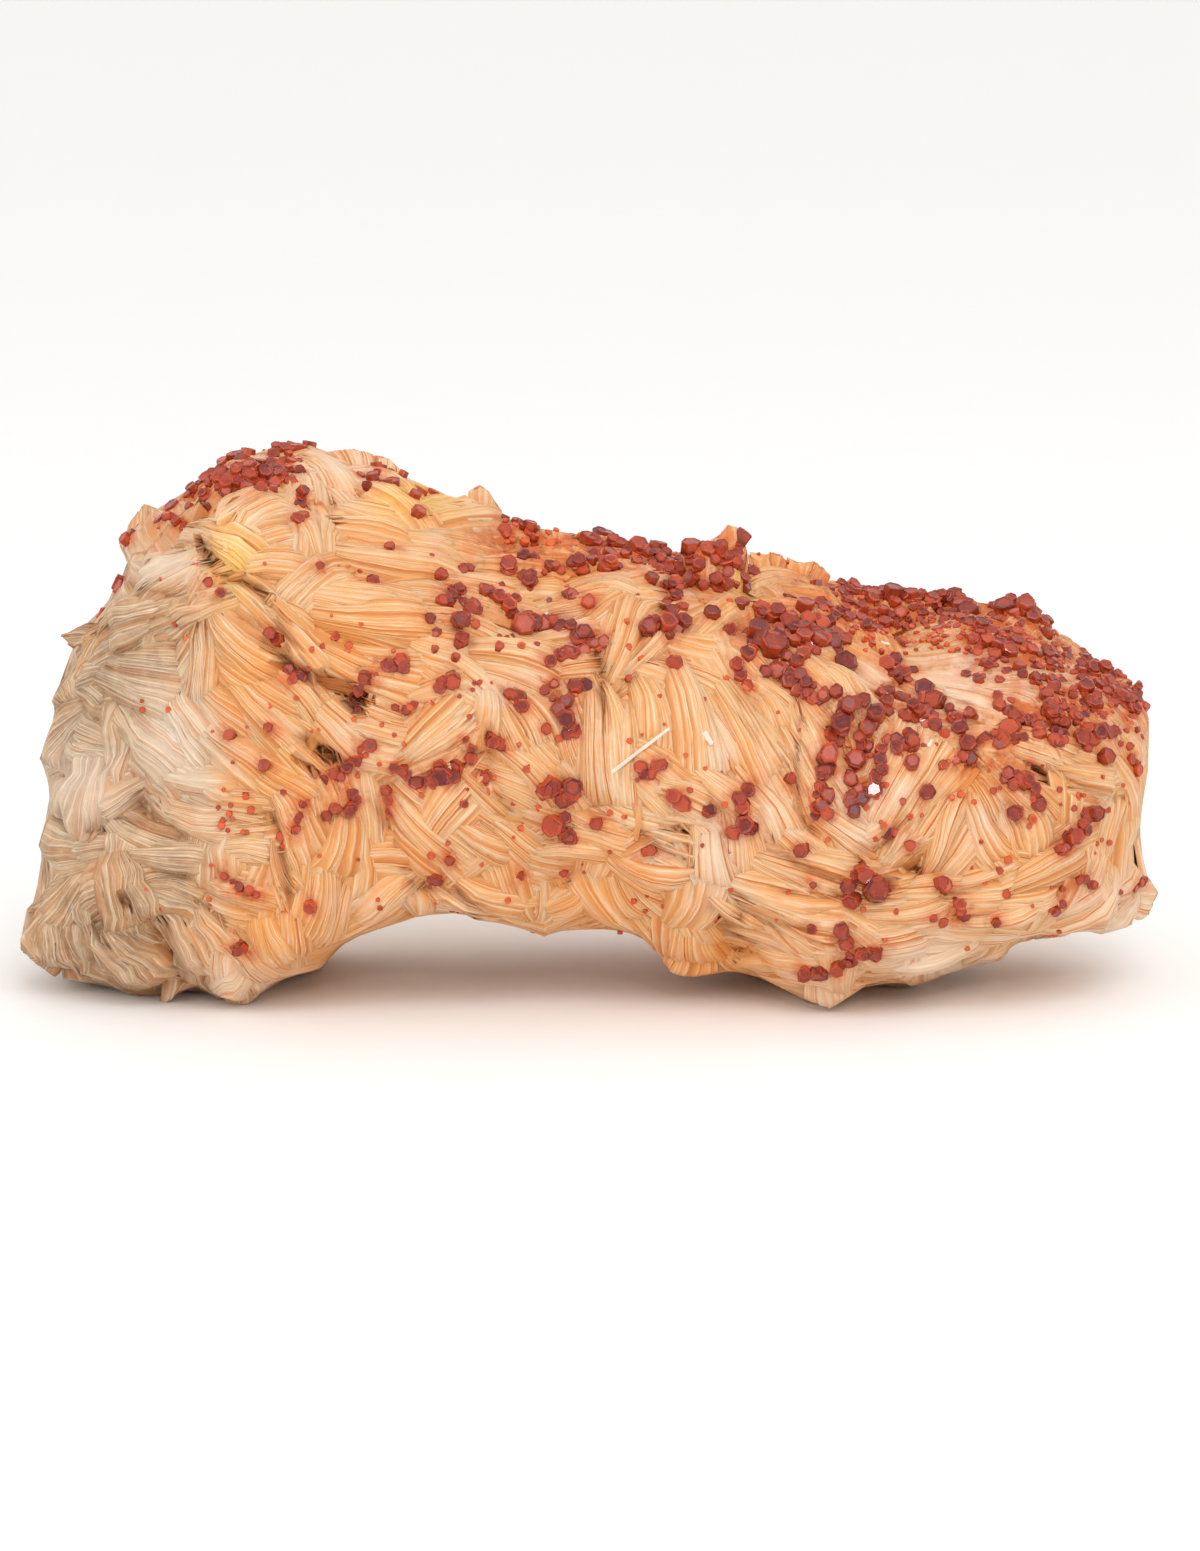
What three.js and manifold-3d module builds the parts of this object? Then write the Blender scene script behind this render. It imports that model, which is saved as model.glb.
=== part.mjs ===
// Vanadinite on barite matrix: a lump of bladed barite, standing on two feet with an arch
// between them, and the hexagonal vanadinite crystals that grew on it in rows and crusts.
// Millimetres, +Z up, +X to the right of the front face. The front face looks along -Y.
// The origin is under the middle of the lump, on the surface that it stands on.
import * as THREE from "three";
import { mergeVertices } from "three/addons/utils/BufferGeometryUtils.js";
import Module from "manifold-3d";

const wasm = await Module();
wasm.setup();

// The lump's cross-sections from the left end to the right end:
// x, bottom and top height, front and back depth, and the rise of the top per mm towards the back.
const SECTIONS = [
  [-91, 10, 15, -8, 2, 0],
  [-87, 4, 30, -17, 12, 0],
  [-83, 3, 50, -21, 17, 0],
  [-76, 0, 62, -27, 23, 0.05],
  [-68, -4, 76, -30, 27, 0.05],
  [-56, -5, 84, -34, 31, 0.05],
  [-44, 3, 84, -36, 33, 0.05],
  [-28, 11, 75.5, -36, 34, 0.08],
  [-12, 11, 72, -35, 34, 0.1],
  [6, 9, 67, -35, 34, 0.12],
  [20, 4, 65, -35, 33, 0.14],
  [36, -5, 60, -35, 33, 0.2],
  [52, 1, 56, -34, 32, 0.22],
  [68, 7, 54, -31, 29, 0.2],
  [79, 9, 51, -25, 24, 0.12],
  [86, 11, 47, -16, 15, 0.05],
  [90, 22, 42, -5, 5, 0],
];
const SECTION_POWER = 2.6; // the roundness of a cross-section: 2 is an ellipse, more is boxier
const LUMPINESS = 0.07;
const RINGS = 18;
const RING_POINTS = 16;

// The point that the places on the front face were sighted from, and the plane they were read in.
const SIGHT_CENTRE = new THREE.Vector3(0, 0, 42);
const SIGHT_DISTANCE = 900;
const SIGHT_ELEVATION = THREE.MathUtils.degToRad(10);
const SIGHT_BASE = 46.6; // from the lowest point seen up to the sight's centre
const DRAW_IN_STEP = 0.01;
const UP_IN_SIGHT = new THREE.Vector3(0, Math.sin(SIGHT_ELEVATION), Math.cos(SIGHT_ELEVATION));
const TOWARDS_EYE = new THREE.Vector3(0, -Math.cos(SIGHT_ELEVATION), Math.sin(SIGHT_ELEVATION));
const EYE = SIGHT_CENTRE.clone().addScaledVector(TOWARDS_EYE, SIGHT_DISTANCE);

// Sheaves of barite blades on the front face: x and height as sighted, the way the blades
// run from root to tip in degrees from +X, length, width, and the turn of the blades on the way.
const FRONT_SHEAVES = [
  // upper left: the peak, its shoulder and the left flank
  [-54, 78, 65, 18, 14, 0],
  [-70, 76, 168, 15, 10, 0],
  [-67, 68, 182, 18, 6, 0],
  [-69, 62, 188, 19, 8, 0],
  [-81, 60, 178, 9, 5, 0],
  [-72, 54, 190, 17, 9, 0],
  [-82, 50, 160, 11, 9, 0],
  [-55, 59, -42, 17, 9, 0],
  [-45, 76, 84, 13, 7, 0],
  [-40, 85, 100, 11, 10, 0],
  // the bowl below the peak and the pale crest beside it
  [-36, 62, -8, 23, 9, 45],
  [-32, 72, 3, 24, 11, 10],
  [-34, 84, -25, 18, 9, 0],
  [-18, 82, 75, 8, 6, 0],
  // the left flank down to the left foot
  [-65, 46, -50, 19, 14, 0],
  [-80, 43, 165, 13, 11, 0],
  [-80, 33, 142, 13, 7, 0],
  [-64, 31, -12, 20, 8, 20],
  [-68, 25, -6, 18, 7, 0],
  [-82, 26, 182, 10, 9, 0],
  [-52, 47, -45, 19, 9, 0],
  [-55, 26, 0, 13, 7, 0],
  [-56, 19, -20, 15, 6, 0],
  [-84, 11, 212, 14, 13, 0],
  [-73, 10, -58, 18, 10, 0],
  [-57, 6, -86, 11, 8, 0],
  [-51, 12, -82, 13, 11, 0],
  [-43, 18, -96, 18, 9, 0],
  // the middle, above the arch
  [-32, 19, 218, 18, 9, 0],
  [-39, 27, -100, 13, 11, 0],
  [-28, 30, -50, 18, 7, 0],
  [-16, 19, -35, 19, 8, 0],
  [-18, 28, -35, 18, 7, 0],
  [-3, 18, 228, 14, 9, 0],
  [5, 19, -72, 14, 8, 0],
  [-26, 44, 41, 21, 10, 0],
  [-17, 48, -88, 14, 8, 0],
  [-13, 57, -4, 20, 8, -18],
  [2, 43, -88, 22, 10, 0],
  [-10, 38, -45, 17, 7, 0],
  [-19, 36, -50, 17, 7, 0],
  [-6, 72, 8, 15, 8, 0],
  [4, 70, 5, 14, 7, 0],
  [5, 59, 68, 20, 9, 0],
  [0, 74, 90, 8, 10, 0],
  [10, 72, 90, 8, 10, 0],
  // the spire and the tall fans under it
  [21, 71, 88, 21, 8, 0],
  [15, 49, -80, 28, 10, 0],
  [25, 46, -62, 25, 10, 10],
  [34, 39, -65, 19, 9, 0],
  [12, 35, -15, 18, 8, 0],
  [9, 24, -20, 18, 7, 0],
  [20, 25, -88, 13, 9, 0],
  // the right foot
  [16, 11, -100, 13, 12, 0],
  [33, 23, -20, 18, 9, 0],
  [35, 8, 222, 18, 12, 0],
  [54, 9, -8, 20, 7, 0],
  [50, 16, 5, 19, 6, 0],
  [63, 10, -30, 11, 6, 0],
  // the dome with its rows of crystals, and the ledge above it
  [50, 36, 60, 25, 18, 12],
  [40, 51, -60, 16, 9, 0],
  [34, 66, -15, 17, 8, 0],
  [29, 70, 80, 8, 7, 0],
  [49, 64, 20, 16, 8, 0],
  [60, 49, -40, 19, 11, 0],
  [68, 61, 60, 11, 10, 0],
  // the right end
  [63, 29, -58, 14, 7, 0],
  [72, 22, 25, 20, 8, 0],
  [83, 29, 62, 15, 8, 0],
  [79, 37, -14, 18, 8, 25],
  [85, 15, -10, 15, 10, 0],
  [79, 50, -28, 17, 9, 0],
  [86, 43, -40, 9, 8, 0],
];

// Sheaves on the top, back and underside are spread evenly by a formula.
const HIDDEN_SHEAVES = 34;
const HIDDEN_X = [-87, 88];
const HIDDEN_TURN = [80, 262]; // degrees round a section: 0 is the front, 90 the top, 180 the back
const HIDDEN_LENGTH = [20, 30];
const HIDDEN_WIDTH = [12, 19];
const SPREAD_STEPS = [0.7548776662, 0.569840291]; // an even spread over a rectangle

// One sheaf of blades
const RIDGE_PITCH = 8; // each modelled ridge stands for several thin blades
const RIDGE_HEIGHT = 1.3;
const ROOT_WIDTH = 0.55; // a sheaf's share of its width at the root
const TIP_LIFT = 0.14; // rise off the lump per mm towards the tip
const BULGE_RADIUS = 45; // a sheaf follows the lump's roundness
const BURIED_DEPTH = 8;
const BURIED_SHARE = 0.85; // a sheaf narrows below its blades
const TIP_RAGGEDNESS = 0.05;
const STRAIGHT = 14; // a sheaf that turns by fewer degrees has one length of flat faces

// Rows and crusts of vanadinite: name, places along the row as sighted, crystals, diameter.
const CRYSTAL_ROWS = [
  ["peak_crust", [[-46.7, 90], [-50.9, 85.3]], 3, 3],
  ["peak_row", [[-52.5, 85.3], [-58.9, 86.4]], 3, 2.8],
  ["shoulder_crust", [[-61.6, 82.6], [-64, 83.7]], 2, 2.8],
  ["upper_crevice", [[-48.3, 54.4], [-46, 52.8]], 2, 3],
  ["middle_hexagon", [[-23.9, 69.6]], 1, 3.2],
  ["middle_pair", [[-20.9, 67.3], [-22.8, 65.3]], 2, 2.8],
  ["shelf_left", [[-21, 62.4], [-18.9, 64.4]], 2, 3.2],
  ["shelf_row", [[-16.6, 67.2], [-12.3, 64]], 3, 2.8],
  ["shelf_lone", [[-25.6, 62.6]], 1, 3],
  ["upper_middle", [[-13, 70.6], [-9.9, 69]], 2, 3.8],
  ["shelf_great", [[-10.9, 61.3], [-6.7, 62], [-2.4, 60.5], [0.5, 58.9]], 4, 4.2],
  ["ridge_crust", [[-0.3, 75.2], [2.9, 76], [6.7, 74.2], [11.2, 73.6]], 4, 3.6],
  ["ridge_hexagon", [[9.8, 69]], 1, 3.3],
  ["crevice_cluster", [[-32.3, 55.2], [-29.6, 56]], 2, 3.2],
  ["middle_cluster", [[-2.4, 51.5], [-4.5, 48.3], [-3.2, 45]], 3, 3.4],
  ["crevice_wall", [[-36, 53.3], [-37.3, 48.8]], 2, 2.8],
  ["dark_cluster", [[-26.6, 36.3], [-22, 38.4]], 2, 4.4],
  ["double_upper", [[-6.4, 35.7], [-3.4, 34.5]], 2, 4.2],
  ["double_lower", [[-5.9, 29.8], [-3.3, 28]], 2, 3.8],
  ["double_side", [[1.1, 29.8]], 1, 3.1],
  ["spire_crust", [[16.3, 74.4], [20, 73.9], [21.9, 72]], 3, 3.6],
  ["spire_edge", [[14.4, 70.6], [13.4, 67.5], [12.8, 65]], 2, 3],
  ["spire_foot", [[9, 61.3], [12.8, 61.6]], 2, 3.8],
  ["tall_fan_hexagon", [[13.6, 55.5]], 1, 3.3],
  ["spire_hexagon", [[19.5, 63.5]], 1, 3.3],
  ["lip_great", [[26.7, 60], [29, 58]], 2, 4.6],
  ["lip_crust", [[31.8, 62], [34.9, 60.8], [38, 59.5]], 2, 4.4],
  ["lip_hexagon", [[40.5, 55.2]], 1, 3.9],
  ["lip_under", [[30, 54.2], [34.4, 51.5]], 2, 3.4],
  ["dome_outer_row", [[41.3, 48.6], [38.7, 42.9], [37.4, 38], [36.2, 34.4], [37, 31.7]], 5, 3.6],
  ["dome_middle_row", [[47.4, 49.3], [44.2, 45], [42.7, 41.3], [41.6, 36], [42.4, 32.8]], 5, 3.5],
  ["dome_hexagon", [[51.5, 39.5]], 1, 3.5],
  ["dome_lone", [[53.9, 35]], 1, 3.6],
  ["lip_right", [[47.4, 55.5], [50.7, 53.4]], 2, 3.8],
  ["dome_edge", [[57.9, 47], [60.2, 43.5], [60.3, 40]], 3, 3],
  ["back_ridge", [[42, 66.6], [46.4, 66.2], [52.8, 66], [58.4, 66]], 4, 4],
  ["back_notch", [[60.5, 63.6], [63.2, 60.5], [66.4, 57.6]], 2, 3.8],
  ["back_peak", [[66.4, 63.8], [69, 64.4], [72.8, 62]], 2, 4],
  ["slope_row", [[70.7, 57.6], [75.5, 56], [80.8, 54]], 3, 3.4],
  ["far_crust", [[82.4, 52], [87, 49]], 2, 3.4],
  ["far_row", [[78.9, 44], [82.4, 45]], 2, 3.2],
  ["slope_lower", [[63.2, 43.2], [66.9, 43.5], [67.2, 47.7]], 3, 3.4],
  ["right_diagonal", [[66.9, 38], [69.9, 36.5], [71.5, 34]], 2, 3.4],
  ["right_drop", [[68.2, 31.7], [68, 28.3]], 1, 3.5],
  ["right_comb", [[80.3, 31.5], [78, 28.8], [76, 25.6]], 3, 3],
  ["column", [[25, 35.2], [24.2, 32.3], [24.8, 28.5]], 3, 3.5],
  ["lower_cluster", [[41.3, 19.8], [43.5, 22], [45.6, 19.2]], 3, 4.2],
  ["foot_row", [[39.5, 6.8], [42.4, 8.3], [45.6, 9.9]], 3, 3.3],
];

// One crystal is a short hexagonal prism, most of it clear of the barite.
const CRYSTAL_SLENDERNESS = 0.85; // height over diameter
const CRYSTAL_TAPER = 0.94;
const CRYSTAL_TILT = 0.12; // how far its axis may lean off the barite's face
const CRYSTAL_SIZE_SPREAD = 0.14;
const CRYSTAL_SPACING = 0.78; // along a row, over the diameter
const CRYSTAL_GAP = 0.3; // kept between a crystal and the barite under it

// Corners closer together than this are one corner.
const FINE_WELD = 1e-4;
const CRYSTAL_WELD = 0.25;
const MATRIX_WELD = 1;
const PINCH_GAP = 0.05;

const BARITE = { color: 0xe0b48a, roughness: 0.55, metalness: 0 };
const VANADINITE = { color: 0x97352a, roughness: 0.25, metalness: 0 };

// A number from -1 to 1 that looks random and is the same on every run.
function wobble(seed) {
  const scattered = Math.sin(seed * 12.9898) * 43758.5453;
  return 2 * (scattered - Math.floor(scattered)) - 1;
}

// A geometry with close corners made one, and without the triangles that then have no area.
function welded(geometry, distance) {
  const bare = geometry.clone();
  bare.deleteAttribute("normal");
  bare.deleteAttribute("uv");
  const merged = mergeVertices(bare, distance);
  const corners = Array.from(merged.index.array);
  const kept = [];
  for (let i = 0; i < corners.length; i += 3) {
    const triangle = corners.slice(i, i + 3);
    if (new Set(triangle).size === 3) kept.push(...triangle);
  }
  return merged.setIndex(kept);
}

function solidOf(geometry, weld = FINE_WELD) {
  const closed = welded(geometry, weld);
  const mesh = new wasm.Mesh({
    numProp: 3,
    vertProperties: closed.attributes.position.array,
    triVerts: new Uint32Array(closed.index.array),
  });
  return new wasm.Manifold(mesh);
}

function geometryOf(solid) {
  const mesh = solid.getMesh();
  const geometry = new THREE.BufferGeometry();
  geometry.setAttribute("position", new THREE.BufferAttribute(mesh.vertProperties, mesh.numProp));
  geometry.setIndex(new THREE.BufferAttribute(mesh.triVerts, 1));
  geometry.computeVertexNormals();
  return geometry;
}

function moveEachPoint(geometry, move) {
  const position = geometry.attributes.position;
  const point = new THREE.Vector3();
  for (let i = 0; i < position.count; i++) {
    move(point.fromBufferAttribute(position, i), i);
    position.setXYZ(i, point.x, point.y, point.z);
  }
  return geometry;
}

// Corners of separate folds that fell on one point are each drawn in a little.
function unpinched(geometry) {
  const folds = new Map();
  const keyAt = (point) => point.toArray().map((value) => value.toFixed(3)).join();
  moveEachPoint(geometry, (point) => folds.set(keyAt(point), (folds.get(keyAt(point)) ?? 0) + 1));
  const normal = new THREE.Vector3();
  return moveEachPoint(geometry, (point, i) => {
    const inwards = folds.get(keyAt(point)) > 1 ? -PINCH_GAP : 0;
    point.addScaledVector(normal.fromBufferAttribute(geometry.attributes.normal, i), inwards);
  });
}

// The outer body of a solid, without slivers, loose splinters and voids sealed inside it.
function cleanBody(solid, weld) {
  const bodies = solidOf(geometryOf(solid), weld).decompose();
  const outer = bodies.reduce((largest, body) => (body.volume() > largest.volume() ? body : largest));
  return solidOf(unpinched(geometryOf(outer)));
}

// The cross-section at x, between the two listed sections beside it.
function sectionAt(x) {
  const last = SECTIONS.length - 1;
  const next = SECTIONS.findIndex((section) => section[0] > x);
  const i = THREE.MathUtils.clamp(next === -1 ? last : next, 1, last);
  const [left, right] = [SECTIONS[i - 1], SECTIONS[i]];
  const share = THREE.MathUtils.clamp((x - left[0]) / (right[0] - left[0]), 0, 1);
  const [, bottom, top, front, back, rise] = left.map((v, k) => v + (right[k] - v) * share);
  return { bottom, top, front, back, rise };
}

const signedPower = (value, power) => Math.sign(value) * Math.abs(value) ** power;

// Swells and hollows round the lump, from -1 to 1.
const lumpWave = (x, turn) => Math.sin(x / 8 + 3 * turn) * Math.sin(x / 13 - 2 * turn + 1);

// The lump without its blades: a sphere with its poles at the two ends, shaped by the sections.
function lumpGeometry() {
  const [leftEnd, rightEnd] = [SECTIONS[0][0], SECTIONS.at(-1)[0]];
  return moveEachPoint(new THREE.SphereGeometry(1, RING_POINTS, RINGS), (point) => {
    const along = (1 - point.y) / 2;
    const x = leftEnd + (rightEnd - leftEnd) * along;
    const { bottom, top, front, back, rise } = sectionAt(x);
    const turn = Math.atan2(point.z, -point.x);
    const onRing = Math.hypot(point.x, point.z) > 1e-6 ? 1 : 0;
    const fullness = onRing * (1 + LUMPINESS * lumpWave(x, turn));
    const towardsBack = -fullness * signedPower(Math.cos(turn), 2 / SECTION_POWER);
    const upwards = fullness * signedPower(Math.sin(turn), 2 / SECTION_POWER);
    const y = (front + back) / 2 + (towardsBack * (back - front)) / 2;
    const z = (bottom + top) / 2 + (upwards * (top - bottom)) / 2;
    const topShare = (1 + upwards) / 2;
    point.set(x, y, z + rise * y * topShare);
  });
}

const raycaster = new THREE.Raycaster();

// Where a straight line first meets a mesh: the point, and the way the face looks there.
function firstHit(mesh, from, towards) {
  raycaster.set(from, towards.clone().sub(from).normalize());
  const [hit] = raycaster.intersectObject(mesh);
  return hit && { point: hit.point, normal: hit.face.normal.clone() };
}

// A place on the front face, from its x and height as sighted. One just past the outline is
// drawn in towards the middle until the line of sight meets the face.
function sighted(mesh, x, height) {
  for (let share = 1; share > 0; share -= DRAW_IN_STEP) {
    const inPlane = SIGHT_CENTRE.clone().addScaledVector(UP_IN_SIGHT, share * (height - SIGHT_BASE));
    inPlane.x += share * x;
    const hit = firstHit(mesh, EYE, inPlane);
    if (hit) return hit;
  }
  throw new Error(`no place at ${x}, ${height}`);
}

// A place anywhere round the lump, from its x and its turn round the section there.
function roundAbout(mesh, x, turn) {
  const { bottom, top } = sectionAt(x);
  const axis = new THREE.Vector3(x, 0, (bottom + top) / 2);
  const outwards = new THREE.Vector3(0, -Math.cos(turn), Math.sin(turn));
  return firstHit(mesh, axis.clone().addScaledVector(outwards, SIGHT_DISTANCE), axis);
}

// Axes on a face: along is the given way laid on the face, out is the face's normal.
function axesOn(normal, way) {
  const along = way.clone().addScaledVector(normal, -way.dot(normal)).normalize();
  const across = new THREE.Vector3().crossVectors(normal, along);
  return { along, across, out: normal };
}

// A sheaf's thickness from root to tip, as a share of the greatest.
const sheafRise = (u) => (u < 0.5 ? 0.15 + 1.7 * u : 1.15 - 0.3 * u);

// One sheaf of blades: a box with ridges along its top, bent round and spread towards its tip.
function sheafGeometry(place, way, length, width, bendDegrees) {
  const { along, across, out } = axesOn(place.normal, way);
  const ridges = Math.max(1, Math.round(width / RIDGE_PITCH));
  const steps = Math.abs(bendDegrees) > STRAIGHT ? 2 : 1;
  const bend = THREE.MathUtils.degToRad(bendDegrees) || 1e-4;
  const bendRadius = length / bend;
  const thickness = 0.8 + 0.12 * length;
  return moveEachPoint(new THREE.BoxGeometry(1, 1, 1, 2 * ridges, steps, 1), (point) => {
    const share = -2 * point.x;
    const u = point.y + 0.5;
    const isTop = point.z > 0;
    const column = Math.round((point.x + 0.5) * 2 * ridges);
    const crest = column % 2 ? 1 : -1;
    const turned = bend * (u - 0.5) * (u === 1 ? 1 + TIP_RAGGEDNESS * crest : 1);
    const spread = (ROOT_WIDTH + (1 - ROOT_WIDTH) * u) * (isTop ? 1 : BURIED_SHARE);
    const sideways = (share * width * spread) / 2;
    const forward = bendRadius * Math.sin(turned) - Math.sin(turned) * sideways;
    const leftward = bendRadius * (1 - Math.cos(turned)) + Math.cos(turned) * sideways;
    const roundness = -(forward ** 2 + leftward ** 2) / (2 * BULGE_RADIUS);
    const domed = thickness * sheafRise(u) * (1 - 0.45 * share ** 2);
    const height = isTop ? domed + (crest * RIDGE_HEIGHT) / 2 : -BURIED_DEPTH;
    const lift = forward * TIP_LIFT;
    point.copy(place.point);
    point.addScaledVector(along, forward);
    point.addScaledVector(across, leftward);
    point.addScaledVector(out, height + roundness + lift);
  });
}

const inSightPlane = (degrees) => {
  const angle = THREE.MathUtils.degToRad(degrees);
  return new THREE.Vector3(Math.cos(angle), 0, 0).addScaledVector(UP_IN_SIGHT, Math.sin(angle));
};

function frontSheaf(lump, [x, height, heading, length, width, bend]) {
  return sheafGeometry(sighted(lump, x, height), inSightPlane(heading), length, width, bend);
}

function hiddenSheaf(lump, i) {
  const [xShare, turnShare] = SPREAD_STEPS.map((step) => (0.5 + step * i) % 1);
  const x = THREE.MathUtils.lerp(...HIDDEN_X, xShare);
  const turn = THREE.MathUtils.degToRad(THREE.MathUtils.lerp(...HIDDEN_TURN, turnShare));
  const heading = Math.PI * wobble(i + 1);
  const up = new THREE.Vector3(0, Math.sin(turn), Math.cos(turn));
  const way = up.multiplyScalar(Math.sin(heading)).add(new THREE.Vector3(Math.cos(heading), 0, 0));
  const length = THREE.MathUtils.lerp(...HIDDEN_LENGTH, (1 + wobble(i + 101)) / 2);
  const width = THREE.MathUtils.lerp(...HIDDEN_WIDTH, (1 + wobble(i + 201)) / 2);
  return sheafGeometry(roundAbout(lump, x, turn), way, length, width, 25 * wobble(i + 301));
}

// Everything below the surface that the lump stands on, which leaves its feet flat.
function groundSolid() {
  const depth = 60;
  return solidOf(new THREE.BoxGeometry(400, 300, depth).translate(0, 0, -depth / 2));
}

function matrixSolid() {
  const lumpShape = lumpGeometry();
  const lump = new THREE.Mesh(lumpShape);
  const sheaves = FRONT_SHEAVES.map((sheaf) => frontSheaf(lump, sheaf));
  for (let i = 0; i < HIDDEN_SHEAVES; i++) sheaves.push(hiddenSheaf(lump, i));
  const bladed = sheaves.reduce((whole, sheaf) => whole.add(solidOf(sheaf)), solidOf(lumpShape));
  return cleanBody(bladed.subtract(groundSolid()), MATRIX_WELD);
}

// The matrix with every face moved out, which cuts the undersides of the crystals.
function grown(geometry, distance) {
  const normal = new THREE.Vector3();
  const normals = geometry.attributes.normal;
  return moveEachPoint(geometry.clone(), (point, i) => {
    point.addScaledVector(normal.fromBufferAttribute(normals, i), distance);
  });
}

// One crystal standing on a face, with its axis leaning a little off the face's normal.
function crystalGeometry(place, diameter, seed) {
  const size = diameter * (1 + CRYSTAL_SIZE_SPREAD * wobble(seed));
  const lean = new THREE.Vector3(wobble(seed + 7), wobble(seed + 13), wobble(seed + 19));
  const axis = place.normal.clone().addScaledVector(lean, CRYSTAL_TILT).normalize();
  const radius = size / 2;
  const height = size * CRYSTAL_SLENDERNESS;
  const upright = new THREE.Quaternion().setFromUnitVectors(new THREE.Vector3(0, 1, 0), axis);
  const middle = place.point.clone().addScaledVector(place.normal, height / 2 + CRYSTAL_GAP);
  return new THREE.CylinderGeometry(radius * CRYSTAL_TAPER, radius, height, 6)
    .rotateY(Math.PI * wobble(seed + 29))
    .applyQuaternion(upright)
    .translate(middle.x, middle.y, middle.z);
}

// Places along a row's line, each crystal overlapping the one before.
function placesAlong(points, count, diameter) {
  if (count === 1) return [points[0]];
  const line = new THREE.CurvePath();
  for (let i = 1; i < points.length; i++) {
    line.add(new THREE.LineCurve(new THREE.Vector2(...points[i - 1]), new THREE.Vector2(...points[i])));
  }
  const length = line.getLength();
  const spacing = Math.min(CRYSTAL_SPACING * diameter, length / (count - 1));
  return Array.from({ length: count }, (_, i) => line.getPointAt((i * spacing) / length).toArray());
}

// A row's crystals as one solid. A splinter that the barite's ridges cut off is left out.
function crystalRowSolid(matrix, taken, row, rowIndex) {
  const [, points, count, diameter] = row;
  const crystals = placesAlong(points, count, diameter).map(([x, height], i) =>
    solidOf(crystalGeometry(sighted(matrix, x, height), diameter, 100 * rowIndex + i)),
  );
  const joined = crystals.reduce((whole, crystal) => whole.add(crystal));
  return cleanBody(joined.subtract(taken), CRYSTAL_WELD);
}

function namedMesh(name, solid, finish) {
  const material = new THREE.MeshStandardMaterial({ ...finish, flatShading: true });
  const mesh = new THREE.Mesh(geometryOf(solid), material);
  mesh.name = name;
  return mesh;
}

const specimen = new THREE.Group();
const matrix = namedMesh("barite_matrix", matrixSolid(), BARITE);
specimen.add(matrix);
let taken = solidOf(grown(matrix.geometry, CRYSTAL_GAP)).add(solidOf(matrix.geometry));
CRYSTAL_ROWS.forEach((row, rowIndex) => {
  const solid = crystalRowSolid(matrix, taken, row, rowIndex);
  const crystals = namedMesh(`vanadinite_${row[0]}`, solid, VANADINITE);
  taken = taken.add(solidOf(grown(crystals.geometry, CRYSTAL_GAP)));
  specimen.add(crystals);
});

const middle = new THREE.Box3().setFromObject(specimen).getCenter(new THREE.Vector3());
for (const { geometry } of specimen.children) geometry.translate(-middle.x, -middle.y, 0);

export default specimen;
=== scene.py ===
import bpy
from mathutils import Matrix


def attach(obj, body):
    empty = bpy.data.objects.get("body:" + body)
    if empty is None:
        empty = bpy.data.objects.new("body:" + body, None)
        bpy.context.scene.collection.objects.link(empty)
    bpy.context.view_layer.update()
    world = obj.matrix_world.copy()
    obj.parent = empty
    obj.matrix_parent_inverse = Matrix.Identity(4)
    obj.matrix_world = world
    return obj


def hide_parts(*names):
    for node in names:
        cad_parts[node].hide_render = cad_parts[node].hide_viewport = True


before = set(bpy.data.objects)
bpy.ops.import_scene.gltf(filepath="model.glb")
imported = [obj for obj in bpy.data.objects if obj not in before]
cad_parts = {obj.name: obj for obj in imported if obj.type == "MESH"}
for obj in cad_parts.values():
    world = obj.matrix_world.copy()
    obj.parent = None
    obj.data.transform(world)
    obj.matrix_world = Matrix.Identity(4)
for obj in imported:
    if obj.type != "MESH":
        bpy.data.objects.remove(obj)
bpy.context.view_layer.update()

import itertools
import math

import bmesh
import bpy
import numpy as np
from bpy.props import FloatProperty, FloatVectorProperty, IntProperty, PointerProperty
from mathutils import Vector
from mathutils.bvhtree import BVHTree
from mathutils.kdtree import KDTree

bl_info = {
    "name": "Vanadinite on matrix",
    "version": (1, 0, 0),
    "blender": (4, 5, 0),
    "location": "View3D > Sidebar > Mineral",
    "description": "A lump of bladed barite with rows and crusts of vanadinite crystals",
    "category": "Object",
}

MM = 0.001

# The middle of the lump's sections, in mm in the part's frame.
MIDDLE = np.array([0.7143, 1.2668, 0.0])

# The eye that the places on the front face are sighted from, and the plane they are read in.
SIGHT_CENTRE = MIDDLE + np.array([0.0, 0.0, 42.0])
SIGHT_DISTANCE = 900.0
SIGHT_ELEVATION = math.radians(10)
SIGHT_BASE = 46.6
UP_IN_SIGHT = np.array([0.0, math.sin(SIGHT_ELEVATION), math.cos(SIGHT_ELEVATION)])
TOWARDS_EYE = np.array([0.0, -math.cos(SIGHT_ELEVATION), math.sin(SIGHT_ELEVATION)])
EYE = SIGHT_CENTRE + SIGHT_DISTANCE * TOWARDS_EYE

# The frame of the view: what it takes in at the sight's centre, and where its middle lies there.
VIEW_HEIGHT = 248.16
VIEW_MIDDLE = (1.6, -9.04)
SENSOR = 36.0

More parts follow.
